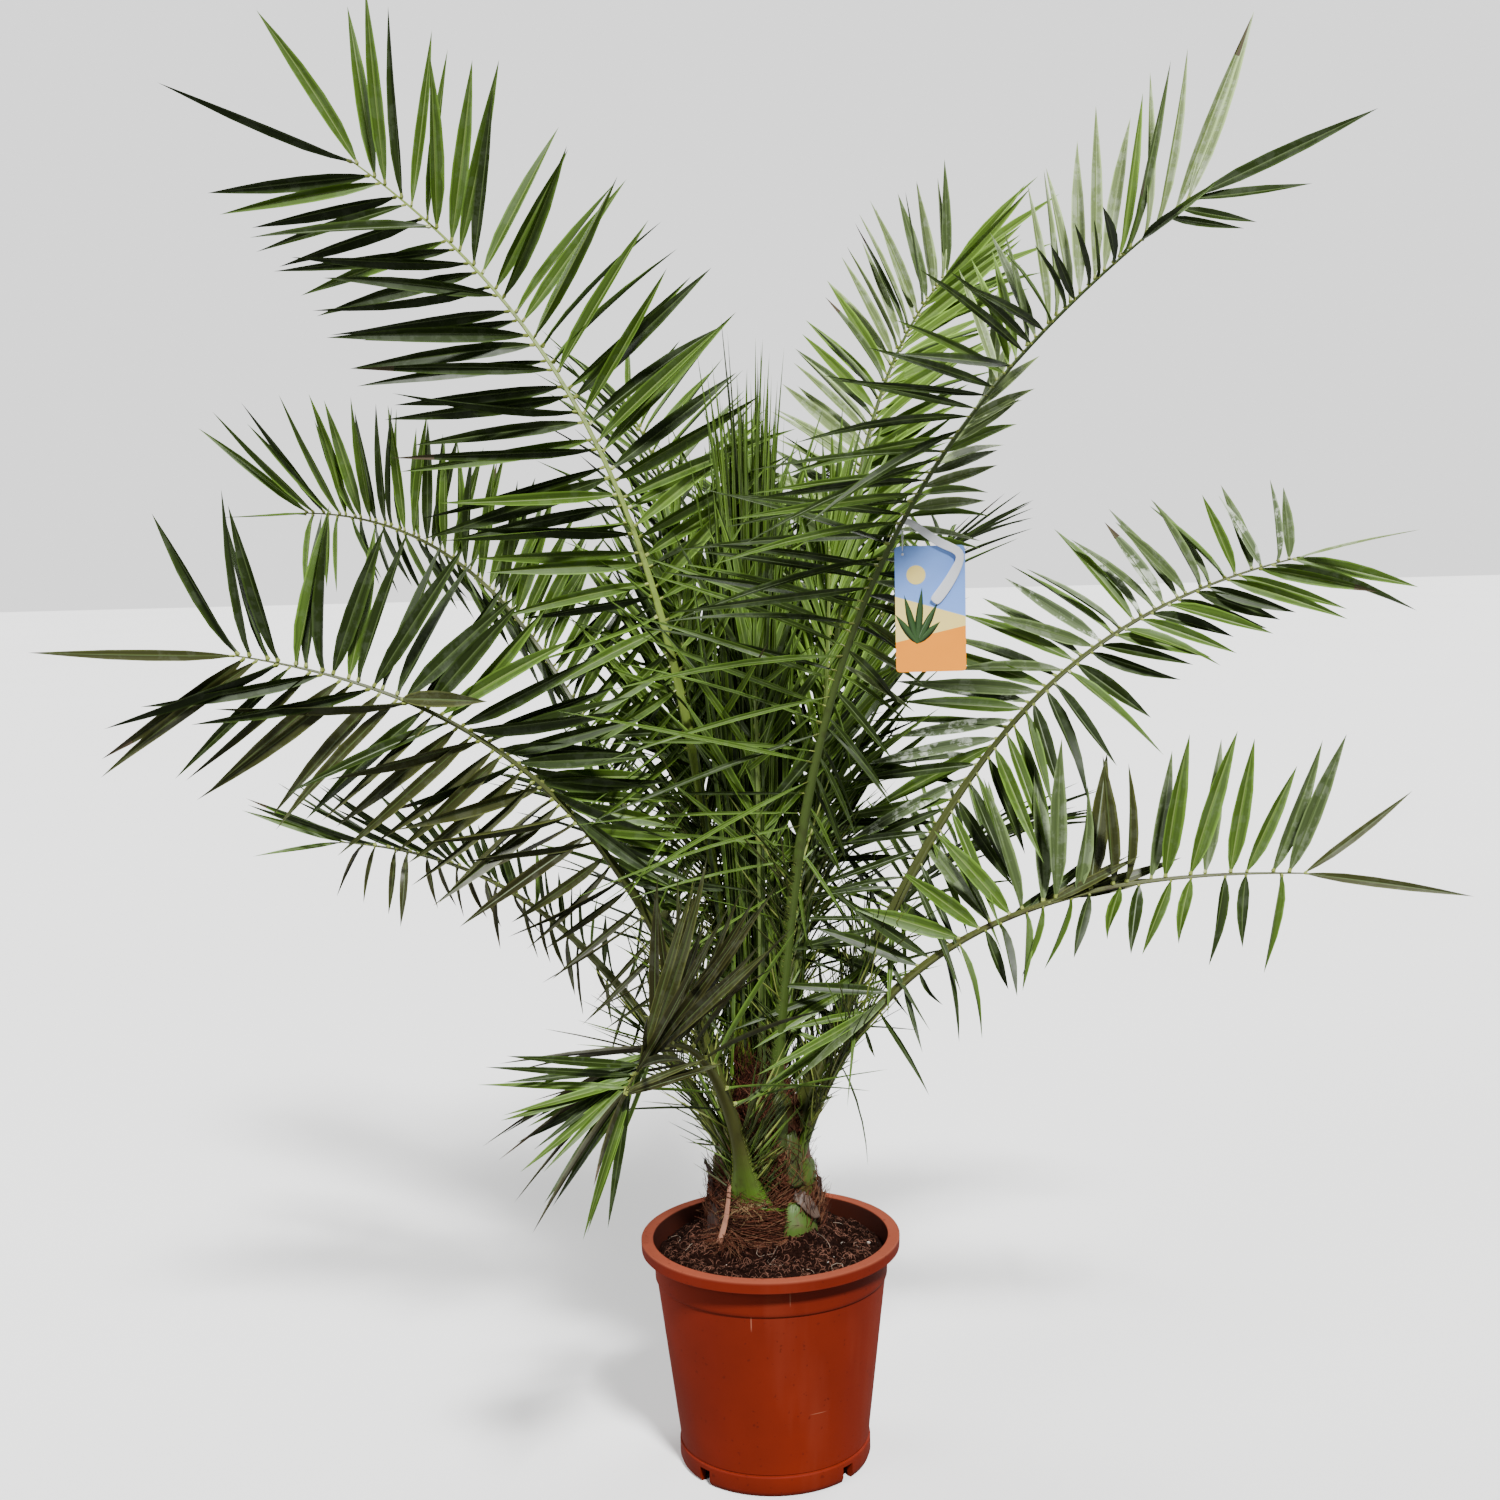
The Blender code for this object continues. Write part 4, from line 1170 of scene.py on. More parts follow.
def pot_section():
    """From the middle of the floor up the inside, over the rim and down the outside."""
    corner = 0.0009
    under_rim = POT_HEIGHT - WALL
    neck = RIM_RADIUS - RIM_WIDTH + 0.001
    lip = POT_HEIGHT - RIM_DEPTH
    floor_top = FLOOR_HEIGHT + FLOOR_THICKNESS
    ring_inside = FOOT_RING_RADIUS - 2.0 * FOOT_RIM_WIDTH
    inner = [
        (0.0, floor_top),
        (BODY_FOOT_RADIUS - WALL - 0.005, floor_top),
        (BODY_FOOT_RADIUS - WALL, floor_top + 0.005),
        (BODY_TOP_RADIUS - WALL, COLLAR_BOTTOM),
        (COLLAR_RADIUS - WALL, COLLAR_BOTTOM + WALL),
        (neck - WALL, POT_HEIGHT - 2.0 * corner),
        (neck - WALL + 0.6 * corner, POT_HEIGHT - 0.4 * corner),
        (neck - WALL + 1.8 * corner, POT_HEIGHT),
        (neck - WALL + 2.4 * corner, POT_HEIGHT),
    ]
    rim = [
        (RIM_RADIUS - 2.2 * corner, POT_HEIGHT),
        (RIM_RADIUS - 1.4 * corner, POT_HEIGHT),
        (RIM_RADIUS - 0.4 * corner, POT_HEIGHT - 0.3 * corner),
        (RIM_RADIUS, POT_HEIGHT - 1.1 * corner),
        (RIM_RADIUS, POT_HEIGHT - 1.9 * corner),
        (RIM_RADIUS - 0.0004, lip + 1.2 * corner),
        (RIM_RADIUS - 0.0004, lip + 0.6 * corner),
        (RIM_RADIUS - 0.0010, lip),
        (RIM_RADIUS - WALL, lip + 0.2 * corner),
        (RIM_RADIUS - WALL, under_rim - corner),
        (RIM_RADIUS - WALL - corner, under_rim),
        (neck + corner, under_rim),
        (neck, under_rim - corner),
    ]
    outer = [
        (COLLAR_RADIUS + 0.0006, lip),
        (COLLAR_RADIUS, COLLAR_BOTTOM + 0.004),
        (COLLAR_RADIUS - 0.0001, COLLAR_BOTTOM + 0.0012),
        (COLLAR_RADIUS - 0.0006, COLLAR_BOTTOM + 0.0003),
        (BODY_TOP_RADIUS + 0.0002, COLLAR_BOTTOM - 0.0002),
        (BODY_TOP_RADIUS - 0.0006, COLLAR_BOTTOM - 0.0014),
        (BODY_TOP_RADIUS - 0.0002, COLLAR_BOTTOM - 0.0034),
        (BODY_FOOT_RADIUS, FOOT_RING_HEIGHT + 0.0040),
        (BODY_FOOT_RADIUS, FOOT_RING_HEIGHT + 0.0022),
        (BODY_FOOT_RADIUS - 0.0009, FOOT_RING_HEIGHT + 0.0014),
        (BODY_FOOT_RADIUS - 0.0007, FOOT_RING_HEIGHT + 0.0004),
        (FOOT_RING_RADIUS - 0.0005, FOOT_RING_HEIGHT + 0.0001),
        (FOOT_RING_RADIUS, FOOT_RING_HEIGHT - 0.0007),
        (FOOT_RING_RADIUS, FOOT_RING_HEIGHT - 0.0018),
        (FOOT_RING_RADIUS, 0.006),
        (FOOT_RING_RADIUS - 0.0016, 0.0016),
        (FOOT_RING_RADIUS - FOOT_RIM_WIDTH, 0.0),
        (ring_inside, 0.0),
        (ring_inside - WALL, FLOOR_HEIGHT),
        (HUB_RADIUS + WALL, FLOOR_HEIGHT),
        (HUB_RADIUS, 0.0),
        (0.0, 0.0),
    ]
    return inner + rim + outer


POT_SCRATCHES = (  # middle across and up, half width and half height, on the front of the pot
    (-0.0225, 0.1970, 0.0005, 0.0060),
    (0.0180, 0.2240, 0.0004, 0.0055),
    (0.0450, 0.0900, 0.0060, 0.0003),
)


def scratch(finish, place):
    """Share of paint rubbed off: 1 on a short straight mark on the front, 0 elsewhere."""
    x, z, half_width, half_height = place
    apart = finish.node("ShaderNodeSeparateXYZ", None, {0: finish.place()})
    across = (1.6 - (finish.out(apart, 0) - x).size() * (1.0 / half_width)).clamped()
    up = (1.6 - (finish.out(apart, 2) - z).size() * (1.0 / half_height)).clamped()
    front = (finish.out(apart, 1) * -1000.0).clamped()
    return across * up * front * 0.4


def pot_finish(colour):
    """Moulded plastic: cloudy tone that also paints soft leaf shadows, painted light on the rim's top, painted shade
    and soil stain on the inside wall, faint flow marks, specks and scratches.
    """
    finish = Finish("pot_plastic", 0.60, Specular_IOR_Level=0.10)
    where = finish.place()
    clouds = finish.grain(where, 7.0, 4.0)
    drips = finish.grain(finish.place(scale=(1.0, 1.0, 0.12)), 26.0, 3.0)
    fine = finish.grain(where, 420.0, 2.0)
    # Cloudy tone that varies at random, made strong enough to also paint the soft shadows that the leaves cast on the
    # pot.
    base = finish.mixed(
        finish.ramp(clouds, (0.35, 0.0), (0.7, 1.0)), shade(colour, 0.84), shade(colour, 1.12),
    )
    dusty = finish.mixed(
        finish.ramp(drips, (0.55, 0.0), (0.78, 0.14)), base, (0.235, 0.055, 0.024),
    )
    height = finish.out(finish.node("ShaderNodeSeparateXYZ", None, {0: where}), 2)
    # Painted light: the rim's top face is made lighter, as if lit from above.
    top = finish.ramp((height - POT_HEIGHT) * 100.0 + 1.0, (0.70, 0.0), (0.95, 0.36))
    rim_top_painted_light = finish.mixed(top, dusty, (0.330, 0.110, 0.060))
    # Painted shade and soil stain: the inner wall above the compost is darkened almost to black.
    along = finish.out(finish.node("ShaderNodeSeparateXYZ", None, {0: finish.place("UV")}), 1)
    inside = (6.9 - along * (len(pot_section()) + 1.0) - clouds * 0.6).clamped()
    shade_and_soil_inside = finish.mixed(inside * 0.9, rim_top_painted_light, (0.022, 0.006, 0.003))
    scratched = shade_and_soil_inside
    for place in POT_SCRATCHES:
        scratched = finish.mixed(scratch(finish, place), scratched, (0.42, 0.19, 0.11))
    specks = finish.ramp(finish.grain(where, 180.0, 1.0), (0.70, 0.0), (0.74, 1.0))
    finish.paint(finish.mixed(specks * 0.4, scratched, shade(colour, 0.3)))
    finish.polish(clouds * 0.20 + fine * 0.12 + 0.42)
    finish.emboss(fine, 0.00008, 0.5)
    return finish.material


class PALM_OT_pot(bpy.types.Operator):
    """Extrudes the pot ring by ring and cuts its drain notches"""

    bl_idname = "palm.make_pot"
    bl_label = "Pot"

    def execute(self, context):
        group = settings().pot
        pot = extruded("pot_shell", round_rings(pot_section(), group.steps))
        for turn in NOTCH_TURNS:
            deselect()
            place = direction(turn, 0.0) * FOOT_RING_RADIUS
            bpy.ops.mesh.primitive_cube_add(size=1.0, location=(place.x, place.y, 0.0))
            notch = bpy.context.active_object
            notch.scale = (NOTCH_DEPTH, NOTCH_WIDTH, 2.0 * NOTCH_HEIGHT)
            notch.rotation_euler = (0.0, 0.0, math.radians(turn))
            apply_modifier(pot, "BOOLEAN", "notch", operation="DIFFERENCE", solver="EXACT", object=notch)
            bpy.data.objects.remove(notch)
        pick(pot)
        bpy.ops.object.shade_smooth_by_angle(angle=math.radians(35.0))
        settle(pot, [pot_finish(tuple(group.colour))], ["pot"])
        return {"FINISHED"}


# Compost


def soil_height(x, y):
    """Relief of the compost: heaped to the stem, sunk at the wall, hollow at the front left."""
    radius = math.hypot(x, y)
    stem = math.hypot(x - STEM_X, y - STEM_Y)
    base = interpolate(((0.0, SOIL_HEIGHT), (0.085, SOIL_HEIGHT - 0.001), (0.124, SOIL_EDGE_HEIGHT)), radius)
    heap = 0.014 * math.exp(-(((stem - 0.055) / 0.022) ** 2))
    hollow = math.hypot((x + 0.045) / 0.034, (y + 0.045) / 0.016)
    dip = 0.012 * math.exp(-hollow * hollow)
    mound = 0.011 * math.exp(-(math.hypot(x - 0.036, y + 0.018) / 0.022) ** 2)
    rough = 0.0042 * noise.fractal(Vector((x * 42, y * 42, 3.7)), 0.9, 2.1, 5)
    return base + heap + mound - dip + rough


def soil_finish():
    finish = Finish("compost", 0.95, Specular_IOR_Level=0.05)
    where = finish.place()
    lumps = finish.grain(where, 120.0, 5.0, 0.7)
    chips = finish.ramp(finish.grain(where, 260.0, 2.0), (0.60, 0.0), (0.68, 1.0))
    base = finish.mixed(lumps, (0.002, 0.0007, 0.0004), (0.016, 0.005, 0.003))
    finish.paint(finish.mixed(chips * 0.4, base, (0.075, 0.032, 0.019)))
    finish.emboss(lumps, 0.003, 1.0)
    return finish.material


def crumb_finish(name, low, high):
    finish = Finish(name, 0.92, Specular_IOR_Level=0.05)
    where = finish.place()
    spots = finish.grain(where, 300.0, 3.0)
    broad = finish.grain(where, 35.0, 2.0)
    base = finish.mixed(finish.ramp(broad, (0.35, 0.0), (0.65, 1.0)), low, high)
    finish.paint(finish.mixed(spots * 0.6, base, shade(high, 1.5)))
    finish.emboss(spots, 0.0006, 0.8)
    return finish.material


class PALM_OT_soil(bpy.types.Operator):
    """Models the compost with its crumbs, fibres, pale roots and specks"""

    bl_idname = "palm.make_soil"
    bl_label = "Compost"

    def execute(self, context):
        group = settings().stem
        rng = seeded(11)
        edge = BODY_TOP_RADIUS - WALL - GAP
        floor_top = FLOOR_HEIGHT + FLOOR_THICKNESS + GAP
        rings = 46
        section = [(edge * i / rings, 0.0) for i in range(rings + 1)]
        section += [(edge, COLLAR_BOTTOM), (BODY_FOOT_RADIUS - WALL - GAP, floor_top), (0.0, floor_top)]
        points = round_rings(section, 144)
        for ring in points[:rings + 1]:
            for place in ring:
                place[2] = soil_height(place[0], place[1])
        settle(extruded("compost", points), [soil_finish()], ["soil"])
        settle(self.crumbs(rng, edge, group.crumbs), [])
        settle(self.fibres(rng, edge), [])
        return {"FINISHED"}

    def crumbs(self, rng, edge, count):
        lump = lump_shape()
        heap = Heap()
        for _ in range(count):
            radius = (edge - 0.003) * math.sqrt(rng.random())
            turn = rng.random() * math.tau
            x, y = radius * math.cos(turn), radius * math.sin(turn)
            if math.hypot(x - STEM_X, y - STEM_Y) < 0.052:
                continue
            size = 0.0009 + 0.0026 * rng.random() ** 3
            squash = rng.uniform(0.6, 1.3, 3)
            spin = Matrix.Rotation(rng.random() * math.tau, 3, rng.normal(size=3))
            local = (lump.points * squash * size) @ np.array(spin).T
            place = np.array((x, y, soil_height(x, y) + 0.3 * size))
            kind = rng.random()
            heap.add(lump, local + place, [0 if kind < 0.88 else 1 if kind < 0.994 else 2])
        return heap.build("compost_crumbs", [
            crumb_finish("crumb_dark", (0.002, 0.0008, 0.0005), (0.010, 0.0036, 0.002)),
            crumb_finish("crumb_brown", (0.022, 0.009, 0.005), (0.075, 0.031, 0.020)),
            crumb_finish("crumb_pale", (0.24, 0.20, 0.17), (0.38, 0.34, 0.29)),
        ])

    def fibres(self, rng, edge):
        strand = strand_shape()
        heap = Heap()
        for index in range(3000):
            radius = (edge - 0.010) * math.sqrt(rng.random())
            turn = rng.random() * math.tau
            x, y = radius * math.cos(turn), radius * math.sin(turn)
            if math.hypot(x - STEM_X, y - STEM_Y) < 0.056:
                continue
            heading = rng.random() * math.tau
            curl = rng.normal() * 2.4
            pale = index % 240 == 0
            length = rng.uniform(0.014, 0.030) if pale else rng.uniform(0.004, 0.011)
            arch = rng.uniform(0.0008, 0.0040)

            def path(s, x=x, y=y, heading=heading, curl=curl, length=length, arch=arch):
                a = heading + curl * s
                px = x + length * s * math.cos(a)
                py = y + length * s * math.sin(a)
                reach = math.hypot(px, py)
                if reach > edge - 0.004:
                    px, py = px * (edge - 0.004) / reach, py * (edge - 0.004) / reach
                return (px, py, soil_height(px, py) + 0.0006 + arch * math.sin(math.pi * s))

            thin = rng.uniform(0.00030, 0.00045) if pale else rng.uniform(0.00020, 0.00042)
            heap.add(strand, lay_strand(strand, path, thin), [2 if pale else 1 if index % 3 == 0 else 0])
        return heap.build("compost_fibres", [
            crumb_finish("root_dark", (0.003, 0.0012, 0.0008), (0.014, 0.005, 0.003)),
            crumb_finish("root_brown", (0.045, 0.018, 0.011), (0.170, 0.078, 0.052)),
            crumb_finish("root_pale", (0.15, 0.11, 0.08), (0.27, 0.21, 0.16)),
        ])


# Stem


def stem_relief(turn, height):
    """Height of the wrapped sheaths over the plain stem, in metres."""
    wrap = math.sin(3.0 * turn + (height - SOIL_HEIGHT) * 55.0)
    fold = math.sin(5.0 * turn - (height - SOIL_HEIGHT) * 80.0 + 1.3)
    ripple = Vector((4.0 * math.cos(turn), 4.0 * math.sin(turn), height * 90.0))
    return 0.0016 * wrap + 0.0012 * fold + 0.0016 * noise.fractal(ripple, 0.8, 2.2, 4)


def fibre_finish(name, low, high, roughness=0.9):
    finish = Finish(name, roughness, Specular_IOR_Level=0.08)
    where = finish.place(scale=(1.0, 1.0, 0.35))
    strands = finish.grain(where, 190.0, 4.0, 0.7)
    broad = finish.grain(finish.place(), 22.0, 3.0)
    base = finish.mixed(strands, low, high)
    finish.paint(finish.mixed(broad * 0.55, base, shade(low, 0.6)))
    finish.emboss(strands, 0.0012, 0.9)
    return finish.material


class Strands(NamedTuple):
    """A patch of loose fibre strands on the stem; angles in degrees, sizes in metres."""

    count: int
    low: float
    high: float
    turn: float
    spread: float
    slopes: tuple
    lengths: tuple
    stand: float
    fray: tuple
    fray_share: float
    shades: tuple
    both_ways: bool = True


STRANDS = (
    Strands(2300, 0.238, 0.410, 0, 180, (18, 64), (0.018, 0.060), 0.0030, (0.003, 0.012), 0.12, (0, 0, 0, 1, 1, 2)),
    Strands(860, 0.240, 0.283, -92, 66, (-22, 26), (0.026, 0.070), 0.0100, (0.002, 0.010), 0.15, (0, 0, 0, 1, 1, 2)),
    Strands(420, 0.262, 0.345, -52, 34, (22, 52), (0.030, 0.060), 0.0050, (0.002, 0.010), 0.15, (0, 1, 1, 2), False),
    Strands(420, 0.238, 0.310, 206, 40, (-30, 70), (0.020, 0.050), 0.0100, (0.002, 0.014), 0.35, (0, 0, 1, 1)),
    Strands(320, 0.238, 0.300, 20, 44, (-20, 70), (0.020, 0.050), 0.0090, (0.002, 0.014), 0.35, (0, 0, 1)),
    Strands(480, 0.350, 0.428, 0, 180, (48, 86), (0.025, 0.060), 0.0040, (0.002, 0.008), 0.25, (0, 0, 1)),
    Strands(300, 0.240, 0.395, 0, 180, (40, 86), (0.020, 0.042), 0.0020, (0.008, 0.020), 0.95, (0, 1, 2)),
    Strands(170, 0.284, 0.294, -112, 24, (-80, -30), (0.010, 0.026), 0.0080, (0.002, 0.008), 0.6, (2, 3, 3)),
    Strands(200, 0.246, 0.262, -129, 10, (-75, -15), (0.012, 0.030), 0.0140, (0.004, 0.020), 0.9, (0, 1, 1, 2)),
    Strands(170, 0.300, 0.372, -60, 22, (30, 80), (0.016, 0.040), 0.0100, (0.0, 0.006), 0.3, (0, 1, 1, 2)),
    Strands(130, 0.258, 0.280, -42, 13, (55, 88), (0.014, 0.032), 0.0165, (0.0, 0.005), 0.3, (0, 1, 2, 2), False),
    Strands(120, 0.252, 0.272, -66, 12, (-30, 60), (0.014, 0.034), 0.0120, (0.000, 0.004), 0.3, (0, 1, 2)),
)


def strand_path(rng, patch):
    """Path of one strand that winds over the stem, and may fray away from it."""
    turn = math.radians(patch.turn + patch.spread * rng.uniform(-1.0, 1.0))
    height = patch.low + (patch.high - patch.low) * rng.random() ** 1.2
    slope = math.radians(rng.uniform(*patch.slopes))
    heading = -1.0 if patch.both_ways and rng.random() < 0.5 else 1.0
    length = rng.uniform(*patch.lengths)
    stand = rng.uniform(0.0002, patch.stand)
    fray = rng.uniform(*patch.fray) if rng.random() < patch.fray_share else 0.0
    wave = rng.uniform(0.0, 0.0022)
    phase = rng.random() * math.tau

    def path(s):
        z = max(height + length * s * math.sin(slope), SOIL_HEIGHT)
        reach = max(0.012, stem_radius(min(z, STEM_TOP - 0.02)))
        a = turn + heading * length * s * math.cos(slope) / reach
        a += wave / reach * math.sin(phase + 5.0 * s)
        r = reach - 0.002 + stem_relief(a, z) + stand + fray * s * s
        x, y = STEM_X + r * math.cos(a), STEM_Y + r * math.sin(a)
        return (x, y, max(z, soil_height(x, y) + 0.0008))

    return path


class PALM_OT_stem(bpy.types.Operator):
    """Models the stem wrapped in netted sheath fibre, with loose frayed strands"""

    bl_idname = "palm.make_stem"
    bl_label = "Stem"

    def execute(self, context):
        rng = seeded(23)
        heights = np.linspace(SOIL_HEIGHT - 0.006, STEM_TOP - 0.004, 64)
        turns = np.arange(96) * (math.tau / 96)
        rings = [[(STEM_X, STEM_Y, heights[0])] * 96]
        for height in heights:
            base = stem_radius(max(height, SOIL_HEIGHT)) - 0.002
            ring = []
            for turn in turns:
                radius = max(0.004, base + stem_relief(turn, height))
                ring.append((STEM_X + radius * math.cos(turn), STEM_Y + radius * math.sin(turn), height))
            rings.append(ring)
        rings.append([(STEM_X, STEM_Y, STEM_TOP)] * 96)
        bark = fibre_finish("sheath_fibre", (0.010, 0.0032, 0.002), (0.060, 0.020, 0.011))
        settle(extruded("stem_fibre", rings), [bark], ["trunk"])

        strand = strand_shape()
        finishes = [
            fibre_finish("strand_dark", (0.012, 0.004, 0.0025), (0.045, 0.015, 0.008)),
            fibre_finish("strand_red", (0.055, 0.017, 0.009), (0.150, 0.050, 0.027)),
            fibre_finish("strand_tan", (0.095, 0.040, 0.020), (0.230, 0.115, 0.062)),
            fibre_finish("strand_pale", (0.180, 0.110, 0.050), (0.320, 0.230, 0.110)),
        ]
        for name, patches in (("stem_net", STRANDS[:2]), ("stem_strands", STRANDS[2:])):
            heap = Heap()
            for patch in patches:
                for _ in range(int(patch.count * settings().stem.density)):
                    thin = rng.uniform(0.00026, 0.00062)
                    shade_index = patch.shades[int(rng.random() * len(patch.shades))]
                    heap.add(strand, lay_strand(strand, strand_path(rng, patch), thin), [shade_index])
            settle(heap.build(name, finishes), [])
        return {"FINISHED"}


# Leaf bases, scales and strip


def husk_finish(name, low, high, mark, spots=60.0, marked=0.6):
    """Old leaf foot: lengthwise streaks, stains and torn dry patches."""
    finish = Finish(name, 0.55, Specular_IOR_Level=0.4)
    streaks = finish.grain(finish.place("UV", (34.0, 1.6, 1.0)), 1.0, 3.0)
    blotches = finish.grain(finish.place(), spots, 3.0)
    base = finish.mixed(streaks, low, high)
    marks = finish.ramp(blotches, (0.56, 0.0), (0.70, 1.0))
    finish.paint(finish.mixed(marks * marked, base, mark))
    finish.polish(blotches * 0.3 + 0.4)
    finish.emboss(streaks, 0.0008, 0.7)
    return finish.material


def husk_piece(husk):
    """A crescent plate round the stem, bulging in its middle, with a ragged top."""
    rng = seeded(40 + int(husk.turn) % 360)
    columns = 13
    count = 18
    rings = []
    for i in range(count + 1):
        share = i / count
        height = husk.bottom + (husk.top - husk.bottom) * share
        flank = stem_radius(height) + interpolate(husk.stands, share)
        half_angle = 0.5 * interpolate(husk.widths, share) / flank
        depth = husk.thickness * (1.0 - 0.6 * share**2)
        middle = math.radians(husk.turn + husk.lean * share + husk.bow * math.sin(math.pi * share))
        tears = husk.torn * share**4 * rng.random(columns)
        outer, inner = [], []
        for k in range(columns):
            s = -1.0 + 2.0 * k / (columns - 1)
            a = middle + s * half_angle
            bulge = depth * (1.0 - s * s) ** 0.7 + 0.0003
            ridge = (0.04 * depth + 0.07 * husk.torn * share) * math.sin(s * 17.0 + 2.0 * share)
            for store, r in ((outer, flank + bulge + ridge), (inner, flank - 0.0005 + ridge)):
                store.append((STEM_X + r * math.cos(a), STEM_Y + r * math.sin(a), height - tears[k]))
        rings.append(outer + inner[::-1])
    sides = len(rings[0])
    rings.insert(0, [tuple(np.mean(rings[0], axis=0))] * sides)
    rings.append([tuple(np.mean(rings[-1], axis=0))] * sides)
    return extruded(husk.name + "_husk", rings)


class PALM_OT_husks(bpy.types.Operator):
    """Models the clasping feet of old leaves, the torn scales and the peeling strip"""

    bl_idname = "palm.make_husks"
    bl_label = "Leaf bases and scales"

    def execute(self, context):
        brown = (0.075, 0.042, 0.022)
        finishes = {
            "green": husk_finish("leaf_base_green", (0.030, 0.070, 0.006), (0.062, 0.110, 0.010), brown),
            "scaly": husk_finish("leaf_base_scaly", (0.018, 0.030, 0.004), (0.050, 0.072, 0.010), (0.010, 0.006, 0.003),
                                 150.0, 1.0),
            "flap": husk_finish("leaf_base_flap", (0.020, 0.010, 0.006), (0.125, 0.080, 0.056), (0.014, 0.006, 0.004),
                                110.0, 0.8),
            "dried": husk_finish("leaf_base_dried", (0.036, 0.020, 0.012), (0.105, 0.066, 0.044), (0.150, 0.100, 0.066)),
            "dark": husk_finish("scale_dark", (0.010, 0.004, 0.0025), (0.042, 0.015, 0.009), (0.070, 0.030, 0.017)),
            "pink": husk_finish("strip_peeling", (0.210, 0.085, 0.048), (0.330, 0.155, 0.095), (0.140, 0.055, 0.032)),
        }
        for husk in HUSKS:
            replaced = [husk.name] if husk.node else []
            settle(husk_piece(husk), [finishes[husk.finish]], replaced)
        return {"FINISHED"}


# Fronds and spear


def stalk_finish(name, low, high, far, clasp=(0.060, 0.022, 0.012), reach=(0.045, 0.095), scurfy=0.4):
    """Stalk: fine lengthwise lines and brownish scurf, and a fibrous brown sheath below."""
    finish = Finish(name, 0.42, Specular_IOR_Level=0.30)
    pattern = finish.place("UV")
    along = finish.out(finish.node("ShaderNodeSeparateXYZ", None, {0: pattern}), 1)
    lines = finish.grain(finish.place("UV", (30.0, 2.5, 1.0)), 1.0, 3.0)
    scurf = finish.grain(finish.place(), 70.0, 4.0)
    base = finish.mixed(lines, low, high)
    green = finish.mixed(finish.ramp(along, (0.10, 0.0), (0.55, 0.8)), base, far)
    marks = finish.ramp(scurf, (0.55, 0.0), (0.68, 1.0))
    sheath = finish.ramp(along + (scurf - 0.5) * 0.10, (reach[0], 1.0), (reach[1], 0.0))
    clasped = finish.mixed(sheath, green, finish.mixed(lines, shade(clasp, 0.6), shade(clasp, 1.2)))
    finish.paint(finish.mixed(marks * scurfy, clasped, (0.026, 0.018, 0.007)))
    finish.polish(scurf * 0.2 + 0.32)
    finish.emboss(lines, 0.0004, 0.6)
    return finish.material


class PALM_OT_fronds(bpy.types.Operator):
    """Grows every frond: a channelled rib, its spines and two ranks of keeled leaflets"""

    bl_idname = "palm.make_fronds"
    bl_label = "Fronds and spear"

    def execute(self, context):
        group = settings().foliage
        materials, slots = leaf_materials()
        shape = leaflet_shape()
        stalks = {
            "bright": stalk_finish("stalk_bright", (0.085, 0.155, 0.012), (0.155, 0.230, 0.026), (0.175, 0.235, 0.042)),
            "green": stalk_finish("stalk_green", (0.024, 0.050, 0.006), (0.060, 0.095, 0.014), (0.060, 0.088, 0.018)),
            "front": stalk_finish("stalk_front", (0.045, 0.055, 0.010), (0.090, 0.092, 0.022), (0.062, 0.070, 0.018),
                                  (0.060, 0.135, 0.010), (0.090, 0.250), 0.25),
            "scaled": stalk_finish("stalk_scaled", (0.040, 0.052, 0.010), (0.082, 0.088, 0.022), (0.062, 0.070, 0.018),
                                   (0.046, 0.078, 0.008), (0.120, 0.200), 0.85),
            "olive": stalk_finish("stalk_olive", (0.030, 0.042, 0.007), (0.072, 0.080, 0.018), (0.058, 0.070, 0.018)),
        }
        spines = Heap()
        for index, frond in enumerate(FRONDS):
            rib = Rib(frond)
            rng = seeded(100 + index)
            settle(stalk_piece(rib), [stalks[frond.stalk]], [f"frond_{frond.name}_stalk"])
            heap = leafy_frond(rib, shape, slots, rng, group.spacing, group.width_scale)
            leaflets = heap.build(f"frond_{frond.name}_leaflets", materials, KEEL_CREASE)
            settle(leaflets, [], [f"frond_{frond.name}_blade"])
            add_spines(spines, rib, shape, slots, rng, group.spines)
        settle(spines.build("stalk_spines", materials, KEEL_CREASE), [])
        spear = Heap()
        rng = seeded(9)
        add_spear(spear, shape, slots, rng)
        rod = strand_shape(6, 8)
        for shoot in SHOOTS:
            add_shoot(spear, rod, shape, slots, rng, shoot)
        settle(spear.build("spear_leaflets", materials, KEEL_CREASE), [], ["spear"])
        return {"FINISHED"}


